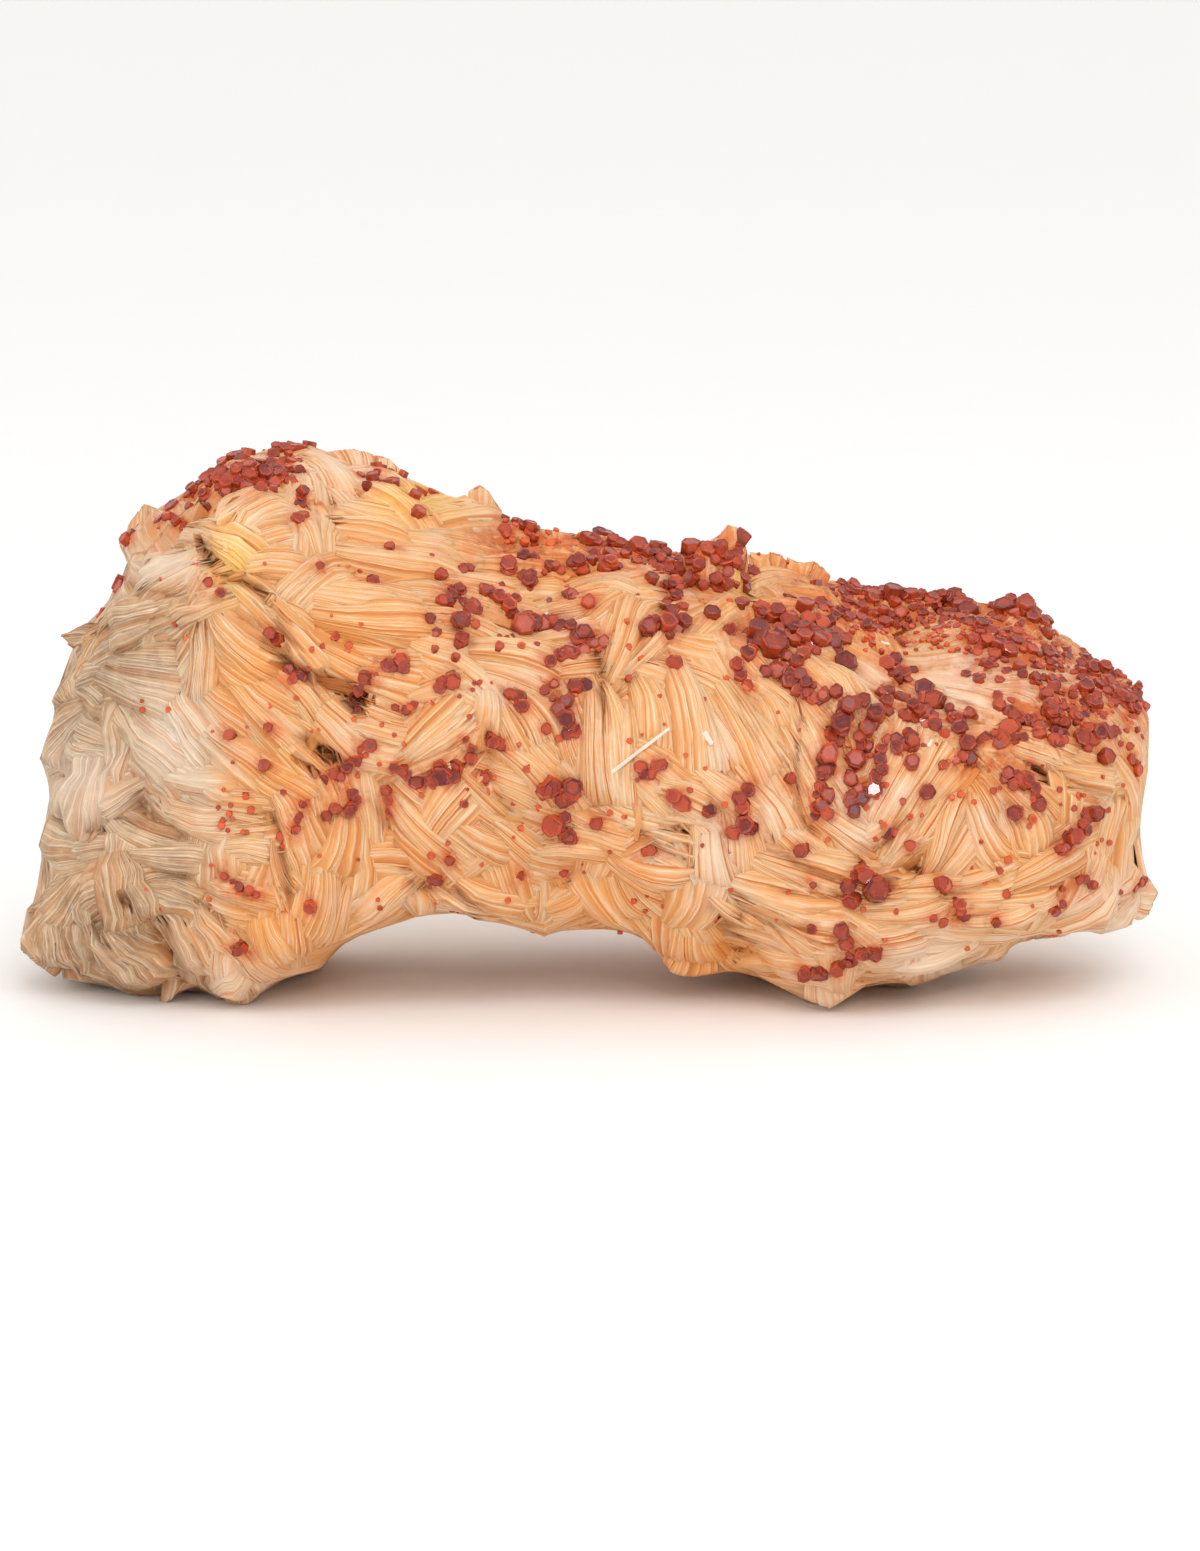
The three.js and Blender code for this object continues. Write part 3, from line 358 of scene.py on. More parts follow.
# Smaller groups: places as sighted, crystals, diameter.
SMALL_GROUPS = [
    ([(-68.8, 78), (-66.9, 79.5), (-65.1, 77.4)], 5, 1.9), ([(-74, 75.2)], 1, 2),
    ([(-46, 82.9), (-46.7, 78.4)], 5, 2.2), ([(-51.5, 60), (-50, 59)], 2, 2.2),
    ([(-61, 68.5), (-59.4, 67.2)], 2, 1.8), ([(-34.7, 68.8)], 1, 2.2), ([(-43.2, 71.2)], 1, 2),
    ([(-32, 74)], 1, 2), ([(-20.5, 59.2)], 1, 2.4), ([(-11.2, 73), (-9.8, 72.4)], 2, 2.8),
    ([(-13.6, 76.8)], 1, 2.6), ([(-6, 56), (-2, 56.8)], 5, 2.8), ([(-3.5, 66.9), (-0.6, 66)], 3, 2.8),
    ([(-2.9, 72), (-1.2, 71)], 3, 2.4), ([(-6.4, 71), (-4.9, 70)], 3, 2.2), ([(-24, 52), (-21.8, 53)], 3, 2.8),
    ([(-29.3, 48.5), (-28, 49.2)], 2, 1.8), ([(-13, 50.9), (-10.9, 49.3)], 4, 2.4),
    ([(-8, 51.2), (-5.6, 52.5)], 3, 2.2), ([(-7, 45)], 1, 2.4), ([(-16, 43.2), (-13.9, 41.9)], 4, 2.2),
    ([(-20, 43), (-19, 42.2)], 2, 1.6), ([(-19.2, 40.3)], 1, 2.4), ([(-16.8, 37.4)], 1, 2.2),
    ([(-31, 39), (-29.6, 38)], 3, 2.2), ([(-42.4, 36.8), (-39.2, 38.4), (-35.5, 42.4)], 8, 2.2),
    ([(-42.4, 31.7), (-39.7, 32.3), (-37.3, 33.6)], 6, 2.2), ([(-38, 34.7)], 1, 2.2),
    ([(-32.3, 35.2), (-32.3, 32)], 3, 1.8), ([(-46.4, 32.8), (-47.2, 28.8)], 4, 1.6),
    ([(-24.8, 21)], 1, 2.6), ([(-22.4, 24)], 1, 2), ([(-11.2, 21.3)], 1, 2), ([(-4.3, 21.9)], 1, 2),
    ([(22.2, 60.8)], 1, 2.8), ([(23.7, 55.5), (24.3, 52.3)], 3, 2.6),
    ([(25.9, 70), (24.6, 66.9), (23.7, 64.6)], 5, 2.4), ([(39.4, 50.9)], 1, 3.2),
    ([(33.6, 51), (36.4, 49.6)], 5, 2.2), ([(46.7, 39.7), (45.6, 35.2)], 5, 2.8),
    ([(49, 42.4), (52.3, 42.9)], 5, 2.6), ([(48, 28.8), (49.2, 28)], 2, 2.2), ([(51.2, 26.4)], 1, 2.4),
    ([(53.6, 50.9), (55.4, 49.3)], 4, 3.2), ([(50.5, 47), (55, 45)], 4, 2.4),
    ([(73.3, 50), (73.6, 47.4)], 5, 2.8), ([(79, 51.2), (81.5, 49.5)], 5, 2.6), ([(70, 46), (72.2, 45)], 4, 2.4),
    ([(82.4, 40.5)], 1, 3), ([(86.5, 40.3), (87.4, 38.6)], 3, 2), ([(18.9, 32)], 1, 2.6),
    ([(13.6, 33.6), (15, 32)], 2, 3), ([(7.9, 38.6), (10, 37.2), (11.8, 39.6)], 6, 2.2), ([(32, 37.1)], 1, 2.2),
    ([(34, 25.6)], 1, 2.8), ([(35.7, 20)], 1, 1.6), ([(39.7, 12.8), (40.6, 11)], 2, 3),
    ([(34, 6), (36.8, 6.4)], 4, 2.8), ([(35.5, 13.1)], 1, 1.8), ([(55.7, 20.5), (57, 19.6)], 2, 2.6),
    ([(58.4, 17.6), (60.5, 15.7)], 4, 2), ([(55.2, 14.9), (56.3, 14.4)], 2, 1.8), ([(65, 14)], 1, 1.8),
    ([(74.4, 16.3), (75.8, 17)], 3, 1.8), ([(78.4, 21), (80.6, 20)], 4, 1.6), ([(87.2, 20), (88.4, 21)], 3, 1.6),
    ([(8.8, 25.6), (10, 25)], 2, 2), ([(-57.6, 44)], 1, 1.8), ([(-52, 39.2)], 1, 1.8), ([(-51.5, 45.3)], 1, 1.8),
    ([(-58.4, 20.8), (-53.6, 18.4)], 5, 1.6), ([(-44.8, 16.5)], 1, 2.2), ([(-56.8, 9.6), (-55.4, 10.4)], 3, 1.8),
    ([(47.8, 50.2), (51, 49.2), (55, 47.2)], 7, 2.5), ([(46.6, 42), (48.6, 43.6), (51.8, 43.8)], 5, 2.3),
    ([(41.8, 47.2), (43.6, 50)], 3, 2.5), ([(39.8, 45.6), (38, 40.4), (36.6, 35.6)], 6, 2.2),
    ([(45.4, 46.6), (43.2, 43), (42.2, 38.4)], 6, 2.2),
]

# Crusts, spread at random inside a rectangle as sighted: left, right, low, high, crystals, diameters.
CRUSTS = [
    (-65, -58, 80, 86, 16, 1.4, 2.6), (-58, -47, 83, 89, 34, 1.4, 2.8), (-52, -46, 86, 91.5, 18, 1.4, 2.6),
    (-1, 12.5, 70.5, 75, 30, 1.6, 3.0), (-13.6, -1, 74, 79, 20, 1, 1.9), (15.7, 24, 67, 75, 22, 1.5, 2.8),
    (11, 15, 59, 72, 16, 1.6, 2.8), (25, 41.6, 57, 65, 46, 1.8, 3.6), (29, 38, 49.6, 57, 14, 1.4, 2.6),
    (38.4, 61.6, 61, 69, 170, 0.9, 2.5), (59, 75, 52, 67, 110, 1, 2.6), (73, 88.8, 42, 58, 140, 1, 2.6),
    (63, 75, 41.6, 51, 20, 1.4, 2.8), (40, 76, 57, 67, 220, 0.7, 1.5), (72, 88, 44, 57, 90, 0.7, 1.4), (54, 61, 38, 50, 8, 1.4, 2.2), (-25, -2, 56, 71, 26, 1.1, 2),
    (-60, -54, 28, 36, 14, 0.8, 1.4), (-72, 86, 9, 78, 150, 0.6, 1.3), (-50, 20, 24, 60, 60, 0.8, 1.6),
    (36, 60, 28, 50, 10, 0.8, 1.6), (60, 86, 16, 36, 26, 0.8, 1.6),
]

# Crystals out of sight on the top and the back: how many, and their diameters.
BACK_CRYSTALS = 260
BACK_DIAMETER = (1.2, 3.0)

# One crystal
SLENDERNESS = 0.95
CRUST_SLENDERNESS = 0.68
CRYSTAL_TILT = 0.2
LOOSE_TILT = 0.3
SIZE_SPREAD = 0.22
ROW_SHARE = 0.86
ROW_SPACING = 0.78
FILL_SPACING = 0.62
ROOT_SHARE = 0.44
UNEVEN = 0.08
MOST_OUTSIDE = 1.3

# Clear white plates of barite, some of them standing in for painted glints: x and height as sighted, length, the way it
# lies in degrees.
PLATES = [
    (-7.2, 63.2, 1.3, 40), (-22.9, 38.7, 1.2, 20), (58.9, 45.3, 1.5, 30), (54.4, 42.7, 1.5, 60),
    (18.8, 43.5, 2.4, -55), (47.2, 58.6, 1.5, 10),
]
NEEDLE = ((3.5, 38.1), (12.6, 45.1))

# The blades are in pieces from left to right, parted at these x.
HANDS = {"front": ("left", "middle", "right"), "back": ("back_left", "back_right")}
PARTINGS = {"front": (-38, 24), "back": (0,)}
made = {}


def wobble(seed):
    """A number from -1 to 1 that looks random and is the same on every run."""
    scattered = np.sin(np.asarray(seed, float) * 12.9898) * 43758.5453
    return 2 * (scattered - np.floor(scattered)) - 1


def unit(vectors):
    return vectors / np.linalg.norm(vectors, axis=-1, keepdims=True)


def signed_power(value, power):
    return np.sign(value) * np.abs(value) ** power


def section_at(x):
    """Bottom, top, front, back and rise of the lump's section at x."""
    return [np.interp(x, SECTIONS[:, 0], SECTIONS[:, k]) for k in range(1, 6)]


def lump_points(ends, ring_x, ring_y):
    """Points of a unit sphere, moved onto the lump: ends is the share of the way to the left end."""
    x = SECTIONS[0, 0] + (SECTIONS[-1, 0] - SECTIONS[0, 0]) * (1 - ends) / 2
    bottom, top, front, back, rise = section_at(x)
    turn = np.arctan2(ring_y, ring_x)
    on_ring = np.hypot(ring_x, ring_y) > 1e-6
    fullness = on_ring * (1 + LUMPINESS * np.sin(x / 8 + 3 * turn) * np.sin(x / 13 - 2 * turn + 1))
    to_back = -fullness * signed_power(np.cos(turn), 2 / SECTION_POWER)
    upwards = fullness * signed_power(np.sin(turn), 2 / SECTION_POWER)
    y = (front + back) / 2 + to_back * (back - front) / 2
    z = (bottom + top) / 2 + upwards * (top - bottom) / 2
    return np.stack([x, y, z + rise * y * (1 + upwards) / 2], axis=-1) + MIDDLE


def lump_mesh(ring_points, rings):
    """The lump without its blades, as points in mm and faces."""
    bm = bmesh.new()
    bmesh.ops.create_uvsphere(bm, u_segments=ring_points, v_segments=rings, radius=1)
    sphere = np.array([v.co for v in bm.verts])
    points = lump_points(sphere[:, 2], sphere[:, 0], sphere[:, 1])
    for vert, point in zip(bm.verts, points):
        vert.co = point
    bmesh.ops.recalc_face_normals(bm, faces=bm.faces[:])
    bm.verts.index_update()
    faces = [[v.index for v in face.verts] for face in bm.faces]
    bm.free()
    return points, faces


def as_tree(points, faces):
    return BVHTree.FromPolygons([tuple(p) for p in points], faces)


def in_sight(x, height):
    """The place in the sight plane, from x and height as sighted."""
    return SIGHT_CENTRE + np.array([x, 0, 0]) + (height - SIGHT_BASE) * UP_IN_SIGHT


def as_sighted(points):
    """x and height as sighted of points."""
    ray = points - EYE
    scale = SIGHT_DISTANCE / -(ray @ TOWARDS_EYE)
    x = ray[:, 0] * scale
    height = (ray @ UP_IN_SIGHT) * scale + SIGHT_BASE
    return x, height


def sighted(tree, x, height):
    """Where the line of sight meets the surface. A place past the outline is drawn in."""
    for share in np.arange(1, 0, -0.01):
        target = in_sight(share * x, SIGHT_BASE + share * (height - SIGHT_BASE))
        point, normal, _, _ = tree.ray_cast(Vector(EYE), Vector(target - EYE).normalized())
        if point is not None:
            return np.array(point), np.array(normal)
    raise ValueError(f"no place at {x}, {height}")


def round_about(tree, x, turn):
    """A place anywhere round the lump, from its x and its turn round the section there."""
    bottom, top, _, _, _ = section_at(x)
    axis = np.array([x, 0, (bottom + top) / 2]) + MIDDLE
    outwards = np.array([0, -math.cos(turn), math.sin(turn)])
    point, normal, _, _ = tree.ray_cast(Vector(axis + SIGHT_DISTANCE * outwards), Vector(-outwards))
    return np.array(point), np.array(normal)


def blade_widths(rng, width, pitch):
    """Widths of the blades side by side in a sheaf, some of them broad."""
    widths = []
    while sum(widths) < width:
        widths.append(pitch * (0.45 + 1.7 * rng.random() ** 3))
    return np.array(widths) * width / sum(widths)


def by_columns(values, join):
    """Values of blades, spread to their crests and to the edges between them."""
    columns = np.empty(2 * len(values) + 1)
    columns[1::2] = values
    columns[0::2] = join(np.append(values[:1], values), np.append(values, values[-1:]))
    return columns[:, None]


def sheet_faces(columns, ring):
    """The faces of a closed sheet of columns, each of which is a ring of points."""
    first = np.arange(columns - 1)[:, None] * ring + np.arange(ring)
    after = np.roll(first, -1, axis=1)
    quads = np.stack([first, after, after + ring, first + ring], axis=-1).reshape(-1, 4)
    ends = [list(range(ring - 1, -1, -1)), list(range((columns - 1) * ring, columns * ring))]
    return quads.tolist() + ends


def laid_on(tree, points, heights):
    """Points moved to their heights over the nearest places of a surface."""
    laid = np.empty_like(points)
    for i, (point, height) in enumerate(zip(points.tolist(), heights)):
        near, normal, _, _ = tree.find_nearest(point)
        laid[i] = near + normal * height
    return laid


def sheaf_sheet(rng, tree, place, way, size, look):
    """One sheaf: a closed sheet of blades side by side, and what its material needs at each point."""
    point, normal = place
    length, width, bend_degrees = size
    along = unit(way - normal * (way @ normal))
    across = np.cross(normal, along)
    bend = math.radians(bend_degrees + look["bend"]) or 1e-4
    radius = length / bend
    thickness = (0.8 + 0.12 * length) * look["thickness"]
    widths = blade_widths(rng, width, look["pitch"])
    count = len(widths)
    edges = np.append(0, np.cumsum(widths))
    at = np.empty(2 * count + 1)
    at[0::2] = edges
    at[1::2] = edges[:-1] + widths * (0.5 + look["lean"] * rng.uniform(0.4, 1, count))
    share = (2 * at / width - 1)[:, None]
    swing = look["phase"] + np.cumsum(widths) * 0.7
    tips = look["tip"] + 0.04 * np.sin(swing) + rng.uniform(-0.05, 0.05, count)
    tip = by_columns(tips, np.minimum) * (1 - look["rounded"] * share ** 2)
    root = by_columns(rng.uniform(-0.04, 0.06, count), np.maximum)
    u = root + (tip - root) * STATIONS
    parting = rng.random(count + 1) ** 3
    groove = np.zeros((2 * count + 1, 1))
    groove[0::2, 0] = 0.15 + 0.85 * parting
    relief = by_columns(widths * rng.uniform(0.02, 0.14, count), np.minimum) - look["relief"] * groove
    step = by_columns(rng.uniform(-0.1, 0.1, count), np.minimum)
    spread = (ROOT_WIDTH + (1 - ROOT_WIDTH) * np.clip(u, 0, 1.2)) * look["spread"]
    weave = by_columns(rng.uniform(-0.14, 0.14, count), lambda a, b: (a + b) / 2)
    wave = look["wave"] * np.sin(look["phase"] + 4.5 * u) + weave * np.sin(3 + 5 * u + 9 * weave)
    sideways = share * width / 2 * spread + wave
    turned = bend * (u - 0.5)
    forward = (radius - sideways) * np.sin(turned)
    leftward = radius * (1 - np.cos(turned)) + np.cos(turned) * sideways
    held = np.clip(u, 0, 1.1)
    rising = 1 - look["ends"] * np.abs(2 * held - 1) ** 2.2
    falls = np.where(share < 0, look["left_fall"], look["right_fall"])
    domed = thickness * rising * (1 - falls * np.abs(share) ** 2.4)
    blunt = EDGE_ROUND * np.clip((STATIONS - EDGE_START) / (1 - EDGE_START), 0, 1) ** 2
    height = domed + forward * TIP_LIFT + look["sink"] + (relief + step) * spread - blunt
    under = np.full((len(at), 1), -look["depth"])
    ring = lambda values: np.concatenate([values, values[:, -1:], values[:, :1]], axis=1)
    forward, leftward, u = ring(forward), ring(leftward), ring(u)
    height = np.concatenate([height, under, under], axis=1).ravel()
    flat = (point + forward[..., None] * along + leftward[..., None] * across).reshape(-1, 3)
    if look["laid"]:
        bulge = (forward ** 2 + leftward ** 2).reshape(-1, 1) / (2 * BULGE_RADIUS)
        points = laid_on(tree, flat - bulge * normal, height)
    else:
        points = flat + height[:, None] * normal
    whole = np.ones_like(u)
    tone = (look["tone"] + by_columns(rng.uniform(-1, 1, count), lambda a, b: (a + b) / 2) * BLADE_TONE) * whole
    # The crest value sets the painted highlight on the crests and the painted shade in the grooves between the blades.
    crested = (1 - groove) * (1 - look["fade"] * np.abs(share) ** 4) * (1 - look["fade"] * np.abs(2 * np.clip(u, 0, 1) - 1) ** 6)
    crested[:, -2:] = 0
    grain = np.stack([u * length, (share * width / 2) * whole, rng.uniform(0, 40) * whole], axis=-1)
    return {"points": points, "faces": sheet_faces(len(at), u.shape[1]), "crest": crested.ravel(),
            "tone": tone.ravel(), "grain": grain.reshape(-1, 3), "reach": u.ravel()}


LAYERS = {
    "upper": {"spread": 1, "tip": 0.98, "sink": 0.0, "tone": 0.1, "depth": 3.2, "laid": True},
    "lower": {"spread": 1.08, "tip": 1.14, "sink": -0.9, "tone": -0.15, "depth": 3.2, "laid": True},
    "fill": {"spread": 1, "tip": 0.98, "sink": -0.5, "tone": -0.05, "depth": 3.2, "laid": True},
    "lobe": {"spread": 1.15, "tip": 0.98, "sink": 0.4, "tone": 0.1, "depth": 3.2, "laid": True},
    "horn": {"spread": 1, "tip": 1.0, "sink": 0.0, "tone": 0.1, "depth": 0.3, "laid": False},
}


def layer_look(name, rng, pitch):
    """How the blades of one layer of a sheaf lie, with this sheaf's own chances drawn."""
    look = dict(LAYERS[name])
    fill = name == "fill"
    look["pitch"] = pitch * rng.uniform(0.8, 1.3)
    look["lean"] = BLADE_LEAN * (1 if rng.random() < 0.5 else -1)
    look["thickness"] = rng.uniform(0.25, 0.6) if fill else rng.uniform(0.45, 0.8)
    look["bend"] = rng.uniform(-28, 28) if fill else rng.uniform(-22, 22)
    look["wave"] = rng.uniform(0.2, 0.8)
    look["phase"] = rng.uniform(0, 6.3)
    look["relief"] = rng.uniform(0.1, 0.3)
    look["rounded"] = rng.uniform(0.08, 0.3)
    look["left_fall"], look["right_fall"] = rng.uniform(1.3, 2.2, 2)
    look["ends"], look["fade"] = rng.uniform(1.1, 1.7), 0.28
    if name == "lobe":
        look["relief"] *= 0.4
        look["thickness"] += 0.25
    if name == "horn":
        look["left_fall"] = look["right_fall"] = look["ends"] = 0.7
        look["fade"] = 0.1
    look["tone"] += rng.uniform(-0.3, 0.3)
    return look


def front_way(degrees):
    angle = math.radians(degrees)
    return np.array([math.cos(angle), 0, 0]) + math.sin(angle) * UP_IN_SIGHT


def front_sheaves(tree):
    """Place, way, size and layers of each sheaf on the front."""
    for x, height, heading, length, width, bend in FRONT_SHEAVES:
        yield sighted(tree, x, height), front_way(heading), (length, FAN_BREADTH * width, bend), ("upper", "lower")
    for x, height, heading, length, width, bend in LOBES:
        yield sighted(tree, x, height), front_way(heading), (length, FAN_BREADTH * width, bend), ("lobe",)
    for x, height, heading, length, width, bend in HORNS:
        point, normal = sighted(tree, x, height)
        facing = unit(TOWARDS_EYE + 0.3 * normal)
        for side in (facing, -facing):
            yield (point, side), front_way(heading), (length, width, bend), ("horn",)
    sheaves = np.array(FRONT_SHEAVES + LOBES, float)
    headings = np.radians(sheaves[:, 2])
    for i, x in enumerate(FILL_X):
        for k, height in enumerate(FILL_HEIGHT):
            seed = 100 * i + k
            spot = np.array([x + 3 * wobble(seed), height + 3 * wobble(seed + 3)])
            target = in_sight(*spot)
            if tree.ray_cast(Vector(EYE), Vector(target - EYE).normalized())[0] is None:
                continue
            near = 1 / (4 + np.sum((sheaves[:, :2] - spot) ** 2, axis=1)) ** 2
            heading = math.degrees(math.atan2(near @ np.sin(headings), near @ np.cos(headings)))
            way = front_way(heading + 9 * wobble(seed + 5))
            yield sighted(tree, *spot), way, drawn_size(seed, FILL_LENGTH, FILL_WIDTH), ("fill",)


def drawn_size(seed, lengths, widths):
    """A length and width within their ranges, and no bend."""
    length = lengths[0] + (lengths[1] - lengths[0]) * (1 + wobble(seed + 101)) / 2
    width = widths[0] + (widths[1] - widths[0]) * (1 + wobble(seed + 201)) / 2
    return length, width, 0


def hidden_sheaves(tree):
    """Place, way, size and layers of each sheaf on the top, back and underside."""
    for i in range(ALL_HIDDEN):
        large = i < LARGE_HIDDEN
        turns = LARGE_TURN if large else SMALL_TURN
        x_share, turn_share = [(0.5 + step * i) % 1 for step in SPREAD_STEPS]
        x = HIDDEN_X[0] + (HIDDEN_X[1] - HIDDEN_X[0]) * x_share
        turn = math.radians(turns[0] + (turns[1] - turns[0]) * turn_share)
        flow = 1.4 * math.sin(x / 17 + 1.5 * turn) + 1.1 * math.sin(2.6 * turn - x / 29)
        heading = flow + 0.45 * wobble(i + 1)
        up = np.array([0, math.sin(turn), math.cos(turn)])
        way = np.array([math.cos(heading), 0, 0]) + math.sin(heading) * up
        lengths, widths = (LARGE_LENGTH, LARGE_WIDTH) if large else (SMALL_LENGTH, SMALL_WIDTH)
        length, width, _ = drawn_size(i, lengths, widths)
        layers = ("upper", "lower") if large else ("fill",)
        yield round_about(tree, x, turn), way, (length, width, 25 * wobble(i + 301)), layers
    for i, (end, y, z) in enumerate(itertools.product((-1, 1), END_Y, END_Z)):
        start = Vector((end * SIGHT_DISTANCE, y + 2 * wobble(i), z + 2 * wobble(i + 7)))
        point, normal, _, _ = tree.ray_cast(start, Vector((-end, 0, 0)))
        if point is not None:
            heading = math.radians(100 + 30 * wobble(i + 401))
            way = np.array([0, math.cos(heading), math.sin(heading)])
            yield (np.array(point), np.array(normal)), way, drawn_size(i, *END_SIZE), ("fill",)


def off_line(x, height, places):
    """Distances, as sighted, from a line through places."""
    nearest = np.full(len(x), np.inf)
    for (x0, h0), (x1, h1) in zip(places, places[1:]):
        run, climb = x1 - x0, h1 - h0
        share = np.clip(((x - x0) * run + (height - h0) * climb) / (run ** 2 + climb ** 2), 0, 1)
        nearest = np.minimum(nearest, np.hypot(x0 + share * run - x, h0 + share * climb - height))
    return nearest


def pressed_in(points):
    """Points with the pits and crevices pressed in, and how deep each point lies in them, which sets its painted shade.
    """
    points = points.copy()
    depth_share = np.zeros(len(points))
    x, height = as_sighted(points)
    for pit_x, pit_height, length, breadth, way, depth in PITS:
        turn = math.radians(way)
        along = (x - pit_x) * math.cos(turn) + (height - pit_height) * math.sin(turn)
        aside = (height - pit_height) * math.cos(turn) - (x - pit_x) * math.sin(turn)
        away = np.hypot(along / length, aside / breadth)
        share = np.clip(1 - away ** 2, 0, 1) * (points[:, 1] < 5)
        points -= (share * depth)[:, None] * TOWARDS_EYE
        depth_share = np.maximum(depth_share, share)
    for breadth, depth, darkness, places in CREVICES:
        away = off_line(x, height, places)
        share = np.clip(1 - (away / breadth) ** 2, 0, 1) * (points[:, 1] < 5)
        points -= (share * depth)[:, None] * TOWARDS_EYE
        depth_share = np.maximum(depth_share, share * darkness)
    return points, depth_share


def in_round(x, height):
    """Direction as a share of a turn, and distance, from the middle of a round drawn on the outline."""
    across, up = (x - ROUND_CENTRE[0]) / ROUND_SCALE[0], (height - ROUND_CENTRE[1]) / ROUND_SCALE[1]
    return np.arctan2(up, across) / (2 * math.pi) % 1, np.hypot(across, up)


def farthest(direction, distance):
    """The farthest distance in each direction, and which point it is."""
    order = np.argsort(distance)
    which = np.full(DIRECTIONS, -1)
    which[(direction[order] * DIRECTIONS).astype(int)] = order
    known = np.flatnonzero(which >= 0)
    gaps = np.flatnonzero(which < 0)
    which[gaps] = which[known[np.abs(known[:, None] - gaps).argmin(axis=0)]]
    return distance[which], which


def round_mean(values, reach):
    """Values round a circle, each the mean of its neighbours."""
    return np.mean([np.roll(values, k) for k in range(-reach, reach + 1)], axis=0)


class Rim:
    """How far the barite's rim, as sighted, is to be stretched to reach the outline."""

    def __init__(self, points):
        self.reach, which = farthest(*in_round(*as_sighted(points)))
        self.depth = round_mean(points[which, 1], 6)
        steps = np.linspace(0, 1, 60, endpoint=False)[:, None, None]
        dense = (OUTLINE + steps * (np.roll(OUTLINE, -1, axis=0) - OUTLINE)).reshape(-1, 2)
        goal, _ = farthest(*in_round(dense[:, 0], dense[:, 1]))
        self.stretch = np.clip(goal - self.reach, 0, MOST_STRETCH)

    def around(self, direction, values):
        at = np.arange(DIRECTIONS + 1)
        return np.interp(direction * DIRECTIONS - 0.5, at, np.append(values, values[0]))

    def stretched(self, points):
        """Points with those near the rim moved out to the outline."""
        x, height = as_sighted(points)
        direction, distance = in_round(x, height)
        near = np.clip((distance / self.around(direction, self.reach) - RIM_START) / (1 - RIM_START), 0, 1) ** 2
        near *= np.exp(-((points[:, 1] - self.around(direction, self.depth)) / RIM_DEPTH) ** 2)
        moved = near * self.around(direction, self.stretch) / np.maximum(distance, 0.1)
        shift = np.zeros_like(points)
        shift[:, 0] = moved * (x - ROUND_CENTRE[0])
        return points + shift + (moved * (height - ROUND_CENTRE[1]))[:, None] * UP_IN_SIGHT


def off_outline(x, height):
    """Distances outwards from the outline, and the nearest places on it, as sighted."""
    nearest = np.full(len(x), np.inf)
    edge_x, edge_height = np.zeros(len(x)), np.zeros(len(x))
    inside = np.zeros(len(x), bool)
    for (x0, h0), (x1, h1) in zip(OUTLINE, np.roll(OUTLINE, -1, axis=0)):
        run, climb = x1 - x0, h1 - h0
        share = np.clip(((x - x0) * run + (height - h0) * climb) / (run ** 2 + climb ** 2), 0, 1)
        away = np.hypot(x0 + share * run - x, h0 + share * climb - height)
        closer = away < nearest
        nearest[closer] = away[closer]
        edge_x[closer] = (x0 + share * run)[closer]
        edge_height[closer] = (h0 + share * climb)[closer]
        if climb:
            spans = (height >= min(h0, h1)) & (height < max(h0, h1))
            inside ^= spans & (x < x0 + (height - h0) * run / climb)
    return np.where(inside, -nearest, nearest), edge_x, edge_height


def drawn_in(points):
    """Points moved sideways in sight, where they would stand out past the outline."""
    x, height = as_sighted(points)
    outwards, edge_x, edge_height = off_outline(x, height)
    soft = -OUTLINE_SOFT * np.exp(-(outwards + OUTLINE_SOFT) / OUTLINE_SOFT)
    moved = np.where(outwards > -OUTLINE_SOFT, soft - outwards, 0) / np.where(outwards == 0, 1, outwards)
    shift = np.zeros_like(points)
    shift[:, 0] = moved * (x - edge_x)
    return points + shift + (moved * (height - edge_height))[:, None] * UP_IN_SIGHT


def zone_shares(points):
    """How far each point belongs to each kind of zone."""
    x, height = as_sighted(points)
    shares = {kind: np.zeros(len(points)) for kind in ZONE_KINDS}
    for kind, zone_x, zone_height, reach_x, reach_height in ZONES:
        away = ((x - zone_x) / reach_x) ** 2 + ((height - zone_height) / reach_height) ** 2
        shares[kind] = np.maximum(shares[kind], np.exp(-away))
    return shares


def new_piece(name, points, faces, attributes, material, replaced=()):
    """A piece of the object from points in mm, with values at its points for its material."""
    mesh = bpy.data.meshes.new(name)
    mesh.from_pydata(points * MM, [], faces)
    for key, values in attributes.items():
        kind = "FLOAT_VECTOR" if values.ndim == 2 else "FLOAT"
        field = "vector" if values.ndim == 2 else "value"
        layer = mesh.attributes.new(key, kind, "POINT" if len(values) == len(points) else "FACE")
        layer.data.foreach_set(field, np.ascontiguousarray(values, np.float32).ravel())
    mesh.materials.append(material)
    piece = bpy.data.objects.new(name, mesh)
    bpy.context.scene.collection.objects.link(piece)
    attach(piece, "root")
    if replaced:
        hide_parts(*replaced)
    return piece


def copied_faces(faces, points_each, copies):
    """The faces of a template, repeated for every copy of its points."""
    by_corners = {}
    for face in faces:
        by_corners.setdefault(len(face), []).append(face)
    joined = []
    for group in by_corners.values():
        steps = np.arange(copies)[:, None, None] * points_each
        joined.extend((np.array(group)[None] + steps).reshape(-1, len(group[0])).tolist())
    return joined


